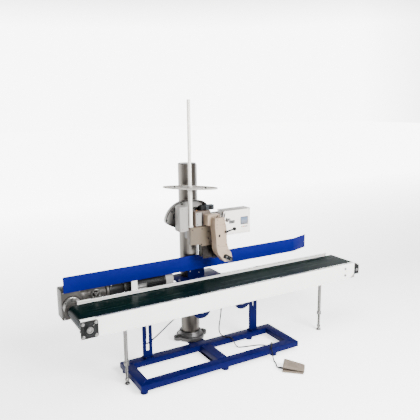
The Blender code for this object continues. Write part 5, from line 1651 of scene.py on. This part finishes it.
def build_guard():
    """Open-fronted cover: a back plate, a rolled rim and its black edging."""
    low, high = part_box("belt_guard")
    sheet = 0.0016
    guard = Piece("belt_cover", "head")
    holes = [arc(MOTOR_PULLEY[:2], 0.01, 0, 348.75, 31), arc(MAIN_PULLEY[:2], 0.012, 0, 348.75, 31)]
    guard.add(slab("XZ", [guard_line(0.0)] + holes, high.y - sheet, high.y, 0.0004), "guard_grey")
    guard.add(slab("XZ", [guard_line(0.0), guard_line(sheet)], low.y + 0.0012, high.y - sheet, 0.0003),
              "guard_grey")
    outline = guard_line(0.0011)
    edge = []
    for (x, z), (next_x, next_z) in zip(outline, outline[1:] + outline[:1]):
        pieces = max(1, int(math.hypot(next_x - x, next_z - z) / 0.012))
        for i in range(pieces):
            edge.append((x + (next_x - x) * i / pieces, low.y + 0.0016, z + (next_z - z) * i / pieces))
    guard.add(tube(edge, 0.0023, 10, closed=True), "black_rubber")
    for x, z in ((-0.15, 0.885), (-0.08, 0.925), (0.062, 0.905), (-0.185, 0.835)):
        guard.add(lathe([(0.0, 0.005), (0.0006, 0.005), (0.0006, 0.0034), (0.0022, 0.0028)],
                        (x, high.y - sheet, z), -Y, 24, 0.0003), "dark_steel")
        guard.bolt((x, high.y, z), Y, 0.004, "zinc")
    guard.finish("belt_guard", slot="light_grey")


def build_sewing_motor():
    """Pressed cover with upright facets, on a motor body that the belt side shows."""
    low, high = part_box("sewing_motor")
    case = Piece("head_motor", "head")
    ridge = low.x + 0.033
    outline = [(low.x, high.y - 0.014), (low.x, low.y + 0.008), (low.x + 0.004, low.y + 0.0005),
               (ridge, low.y + 0.0005), (high.x, low.y + 0.012), (high.x, high.y - 0.014)]
    case.add(slab("XY", [outline], low.z, high.z, 0.0026, 3), "light_grey")
    case.add(block((low.x + 0.003, high.y - 0.0155, low.z + 0.003),
                   (high.x - 0.003, high.y, high.z - 0.003), 0.002), "black_plastic")
    face = high.x
    for i in range(9):
        z = low.z + 0.03 + 0.0115 * i
        case.add(block((face - 0.0008, low.y + 0.024, z), (face + 0.0006, high.y - 0.022, z + 0.005), 0.0005),
                 "black_plastic")
    for z in (low.z + 0.014, high.z - 0.014):
        case.screw((low.x + 0.0002, high.y - 0.022, z), -X, 0.0026, "dark_steel")
        case.screw((ridge - 0.014, low.y + 0.0007, z), -Y, 0.0024, "dark_steel")
    case.finish("sewing_motor", slot="light_grey")


def build_control_box():
    low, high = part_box("control_box")
    front = low.y
    case = Piece("control_cabinet", "head")
    door = 0.016
    case.add(block((low.x, front + door + 0.001, low.z), high, 0.0026, 3), "box_white")
    case.add(block((low.x + 0.0015, front + door - 0.001, low.z + 0.0015),
                   (high.x - 0.0015, front + door + 0.002, high.z - 0.0015), 0.0004), "black_rubber")
    case.add(block((low.x, front + 0.0006, low.z), (high.x, front + door, high.z), 0.0034, 4), "box_white")
    case.add(block((low.x - 0.0015, front - 0.001, high.z - 0.0016),
                   (high.x + 0.0015, high.y + 0.001, high.z + 0.001), 0.001, 2), "light_grey")
    frame_low = Vector((0.336, front - 0.0006, 0.749))
    frame_high = Vector((0.394, front + 0.0016, 0.8))
    case.add(block(frame_low, frame_high, 0.001, 3), "black_plastic")
    case.add(block((0.34, front - 0.001, 0.7535), (0.39, front + 0.0012, 0.796), 0.0003), "screen")
    for i, material in enumerate(("signal_green", "signal_red", "grey_plastic", "grey_plastic")):
        x = 0.3455 + 0.013 * i
        case.add(lathe([(0.0, 0.0046), (0.0012, 0.0046), (0.0012, 0.0036), (0.003, 0.0034)],
                       (x, front + 0.0008, 0.734), -Y, 28, 0.0003), material)
    case.add(block((0.248, front - 0.0004, 0.7655), (0.29, front + 0.0012, 0.785), 0.0006), "grey_plastic")
    for i in range(3):
        x = 0.256 + 0.013 * i
        socket = [(0.0, 0.0052), (0.0016, 0.0052), (0.0016, 0.0036), (0.0006, 0.0034)]
        case.add(lathe(socket, (x, front - 0.0002, 0.7752), -Y, 28, 0.0003), "zinc")
    for x in (low.x + 0.01, high.x - 0.01):
        for z in (low.z + 0.01, high.z - 0.01):
            case.screw((x, front + 0.0008, z), -Y, 0.0028, "zinc")
    for z in (low.z + 0.03, high.z - 0.03):
        hinge = [(z - 0.014, 0.0028), (z + 0.014, 0.0028)]
        case.add(lathe(hinge, (low.x + 0.0016, front + door + 0.0005, 0.0), Z, 20, 0.0006), "zinc")
    for x in (0.25, 0.3, 0.35):
        gland = [(0.0, 0.009), (0.005, 0.009)]
        case.add(lathe(gland, (x, -0.058, low.z + 0.0002), -Z, 6, 0.0006), "black_plastic")
        case.add(lathe([(0.0048, 0.0076), (0.011, 0.0062), (0.0112, 0.004)], (x, -0.058, low.z), -Z, 24,
                       0.0005), "black_plastic")
    for i in range(7):
        z = low.z + 0.04 + 0.009 * i
        case.add(block((high.x - 0.0008, -0.076, z), (high.x + 0.0005, -0.036, z + 0.0036), 0.0004),
                 "black_plastic")
    case.finish("control_box", slot="white_paint")


TRAY_TURN = -math.pi / 4
TRAY_HALF = (0.172, 0.062)
TRAY_FLOOR = 1.033
CONE_REACH = 0.098        # from the rod to each cone's seat


def tray_ring(x, y, inset, count=80):
    """The tray's oval outline, drawn in by inset."""
    points = []
    for i in range(count):
        angle = 2 * math.pi * i / count
        along = (TRAY_HALF[0] - inset) * math.cos(angle)
        across = (TRAY_HALF[1] - inset) * math.sin(angle)
        points.append((x + along * math.cos(TRAY_TURN) - across * math.sin(TRAY_TURN),
                       y + along * math.sin(TRAY_TURN) + across * math.cos(TRAY_TURN)))
    return points


def build_thread_rod():
    low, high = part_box("thread_rod")
    x, y = (low.x + high.x) / 2, (low.y + high.y) / 2
    rod = Piece("thread_stand", "head")
    profile = [(low.z, 0.0148), (low.z + 0.0085, 0.0148), (low.z + 0.0098, 0.0135), (low.z + 0.01, 0.0123),
               (1.012, 0.0123), (1.014, 0.0104), (high.z - 0.004, 0.0104), (high.z - 0.0012, 0.0092),
               (high.z, 0.0062)]
    rod.add(lathe(profile, (x, y, 0.0), Z, 36, 0.0005), "rod_white")
    rod.screw((x, y - 0.0146, low.z + 0.005), -Y, 0.002, "dark_steel")
    rod.finish("thread_rod", slot="white_paint")


def build_thread_tray():
    low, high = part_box("thread_rod")
    x, y = (low.x + high.x) / 2, (low.y + high.y) / 2
    floor = TRAY_FLOOR
    bottom = floor - 0.002
    rim_top = floor + 0.006
    tray = Piece("cone_tray", "head")
    hole = arc((x, y), 0.017, 0, 348.75, 31)
    tray.add(slab("XY", [tray_ring(x, y, 0.0006), hole], bottom, floor, 0.0003), "tray_paint")
    rim = [tray_ring(x, y, 0.0002), tray_ring(x, y, 0.002)]
    tray.add(slab("XY", rim, floor - 0.001, rim_top - 0.001, 0.0003), "tray_paint")
    bead = [(across, along, rim_top - 0.0013) for across, along in tray_ring(x, y, 0.0012)]
    tray.add(tube(bead, 0.0013, 10, closed=True), "tray_paint")
    hub = [(floor - 0.014, 0.0108), (floor - 0.014, 0.0172), (bottom, 0.0178), (floor + 0.011, 0.0172),
           (floor + 0.012, 0.015), (floor + 0.012, 0.0108)]
    tray.add(lathe(hub, (x, y, 0.0), Z, 40, 0.0006, closed=True), "tray_paint")
    for side in (-1.0, 1.0):
        reach = side * CONE_REACH
        centre = (x + reach * math.cos(TRAY_TURN), y + reach * math.sin(TRAY_TURN))
        outer = arc(centre, 0.027, 0, 352.5, 47)
        inner = arc(centre, 0.0245, 0, 352.5, 47)
        tray.add(slab("XY", [outer, inner], floor - 0.0004, floor + 0.0014, 0.0004), "tray_paint")
        tray.add(lathe([(floor - 0.001, 0.006), (floor + 0.0012, 0.0055), (floor + 0.008, 0.0036),
                        (floor + 0.011, 0.0015)], (*centre, 0.0), Z, 24, 0.0004), "black_plastic")
    tray.screw((x + 0.012, y - 0.012, floor - 0.0075), Vector((1.0, -1.0, 0.0)), 0.003, "dark_steel")
    tray.finish("thread_tray", slot="clear_tray")


BUTTON_AXIS = (0.078, 0.901)       # x and z


def build_switch():
    low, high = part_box("switch_box")
    case = shaped("run_switch_box", "head", "switch_box", "grey_plastic", 0.0022, 3, 40.0)
    x, z = BUTTON_AXIS
    bezel = [(-low.y - 0.0004, 0.0086), (-low.y - 0.0004, 0.0112), (-low.y + 0.0014, 0.0108),
             (-low.y + 0.0014, 0.0086)]
    case.add(lathe(bezel, (x, 0.0, z), -Y, 40, 0.0004, closed=True), "black_plastic")
    for x in (low.x + 0.006, high.x - 0.006):
        for z in (low.z + 0.006, high.z - 0.006):
            case.screw((x, low.y + 0.0003, z), -Y, 0.0018, "zinc")
    case.add(block((low.x - 0.034, -0.153, 0.8853), (low.x - 0.004, -0.123, 0.917), 0.005, 4),
             "black_plastic")
    case.add(lathe([(0.0, 0.007), (0.005, 0.007)], (low.x + 0.0005, -0.1375, 0.9), -X, 28, 0.0006),
             "black_plastic")
    case.finish("switch_box", slot="dark_steel")


def build_switch_button():
    low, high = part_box("switch_button")
    x, z = BUTTON_AXIS
    button = Piece("run_button", "switch_button")
    cap = [(-high.y, 0.0072), (-low.y - 0.0014, 0.0074), (-low.y - 0.0003, 0.006), (-low.y - 0.0006, 0.003)]
    button.add(lathe(cap, (x, 0.0, z), -Y, 40, 0.0004), "black_plastic")
    button.finish("switch_button", slot="black_iron")


# ---------------------------------------------------------------- foot switch

PEDAL_PLACE = (0.3463, -0.7527)
PEDAL_ANGLE = math.radians(137.0)
PEDAL_RUN = 0.122
PEDAL_HALF = 0.041


def on_pedal(form):
    """Move a form from the pedal's own axes (length, width, height) to its place on the floor."""
    place = Matrix.Translation((*PEDAL_PLACE, 0.0)) @ Matrix.Rotation(PEDAL_ANGLE, 4, "Z")
    bmesh.ops.transform(form, matrix=place, verts=form.verts)
    return form


def build_pedal():
    base = Piece("pedal_foot", "base")
    base.add(on_pedal(block((0.0, -PEDAL_HALF, 0.0022), (PEDAL_RUN, PEDAL_HALF, 0.0128), 0.003, 4)),
             "pedal_case")
    for x in (0.014, PEDAL_RUN - 0.014):
        for y in (-PEDAL_HALF + 0.013, PEDAL_HALF - 0.013):
            pad = lathe([(0.0, 0.008), (0.0026, 0.009)], (x, y, 0.0), Z, 28, 0.0005)
            base.add(on_pedal(pad), "black_rubber")
    base.add(on_pedal(lathe([(-PEDAL_HALF + 0.007, 0.0042), (PEDAL_HALF - 0.007, 0.0042)],
                            (0.0, 0.0, 0.0121), Y, 24, 0.0006)), "zinc")
    base.finish("pedal_base", slot="pedal_beige")
    treadle = shaped("pedal_top", "pedal_treadle", "pedal_treadle", "pedal_case", 0.0028, 4, 22.0)
    start = Vector((0.014, 0.0, 0.0288))
    end = Vector((PEDAL_RUN - 0.016, 0.0, 0.0487))
    tilt = math.atan2(end.z - start.z, end.x - start.x)
    ribs = 9
    for i in range(ribs):
        spot = start.lerp(end, (i + 0.5) / ribs)
        form = block((-0.002, -PEDAL_HALF + 0.009, -0.0008), (0.002, PEDAL_HALF - 0.009, 0.0012), 0.0007)
        bmesh.ops.transform(form, matrix=Matrix.Translation(spot) @ Matrix.Rotation(-tilt, 4, "Y"),
                            verts=form.verts)
        treadle.add(on_pedal(form), "pedal_case")
    treadle.finish("pedal_treadle", slot="pedal_beige")


# ---------------------------------------------------------------- assembly

def build_all():
    build_frame()
    build_posts()
    build_column()
    build_rack()
    build_column_foot()
    build_beams()
    build_belt()
    build_rollers()
    build_drive_bearing()
    build_gearbox()
    build_variator()
    build_speed_wheel()
    build_motor()
    build_guide()
    build_legs()
    build_junction_box()
    build_carriage()
    build_lift_crank()
    build_bed()
    build_bed_cover()
    build_needle_plate()
    build_feed_dog()
    build_looper()
    build_slot_shade_sheet()
    build_rear_housing()
    build_arm()
    build_needle_bar()
    build_presser_foot()
    build_presser_lever()
    build_tension_knob()
    build_pulley("motor_pulley", "motor_drive_pulley", MOTOR_PULLEY, 0.005, 0)
    build_pulley("head_pulley", "main_shaft_pulley", MAIN_PULLEY, 0.007, 5)
    build_drive_belt()
    build_guard()
    build_sewing_motor()
    build_control_box()
    build_thread_rod()
    build_thread_tray()
    build_switch()
    build_switch_button()
    build_pedal()
    add_cables()


make_materials()
add_camera()
add_world()
add_floor()
add_light("key", (0.9, -3.5, 2.4), (0.1, -0.2, 0.5), (1.8, 2.2), 620.0)
add_light("fill", (-3.4, -2.2, 1.6), (-0.2, -0.2, 0.5), (0.7, 2.4), 14.0)
add_light("top", (0.0, -0.4, 4.2), (0.0, -0.3, 0.3), (4.5, 3.0), 260.0)
build_all()
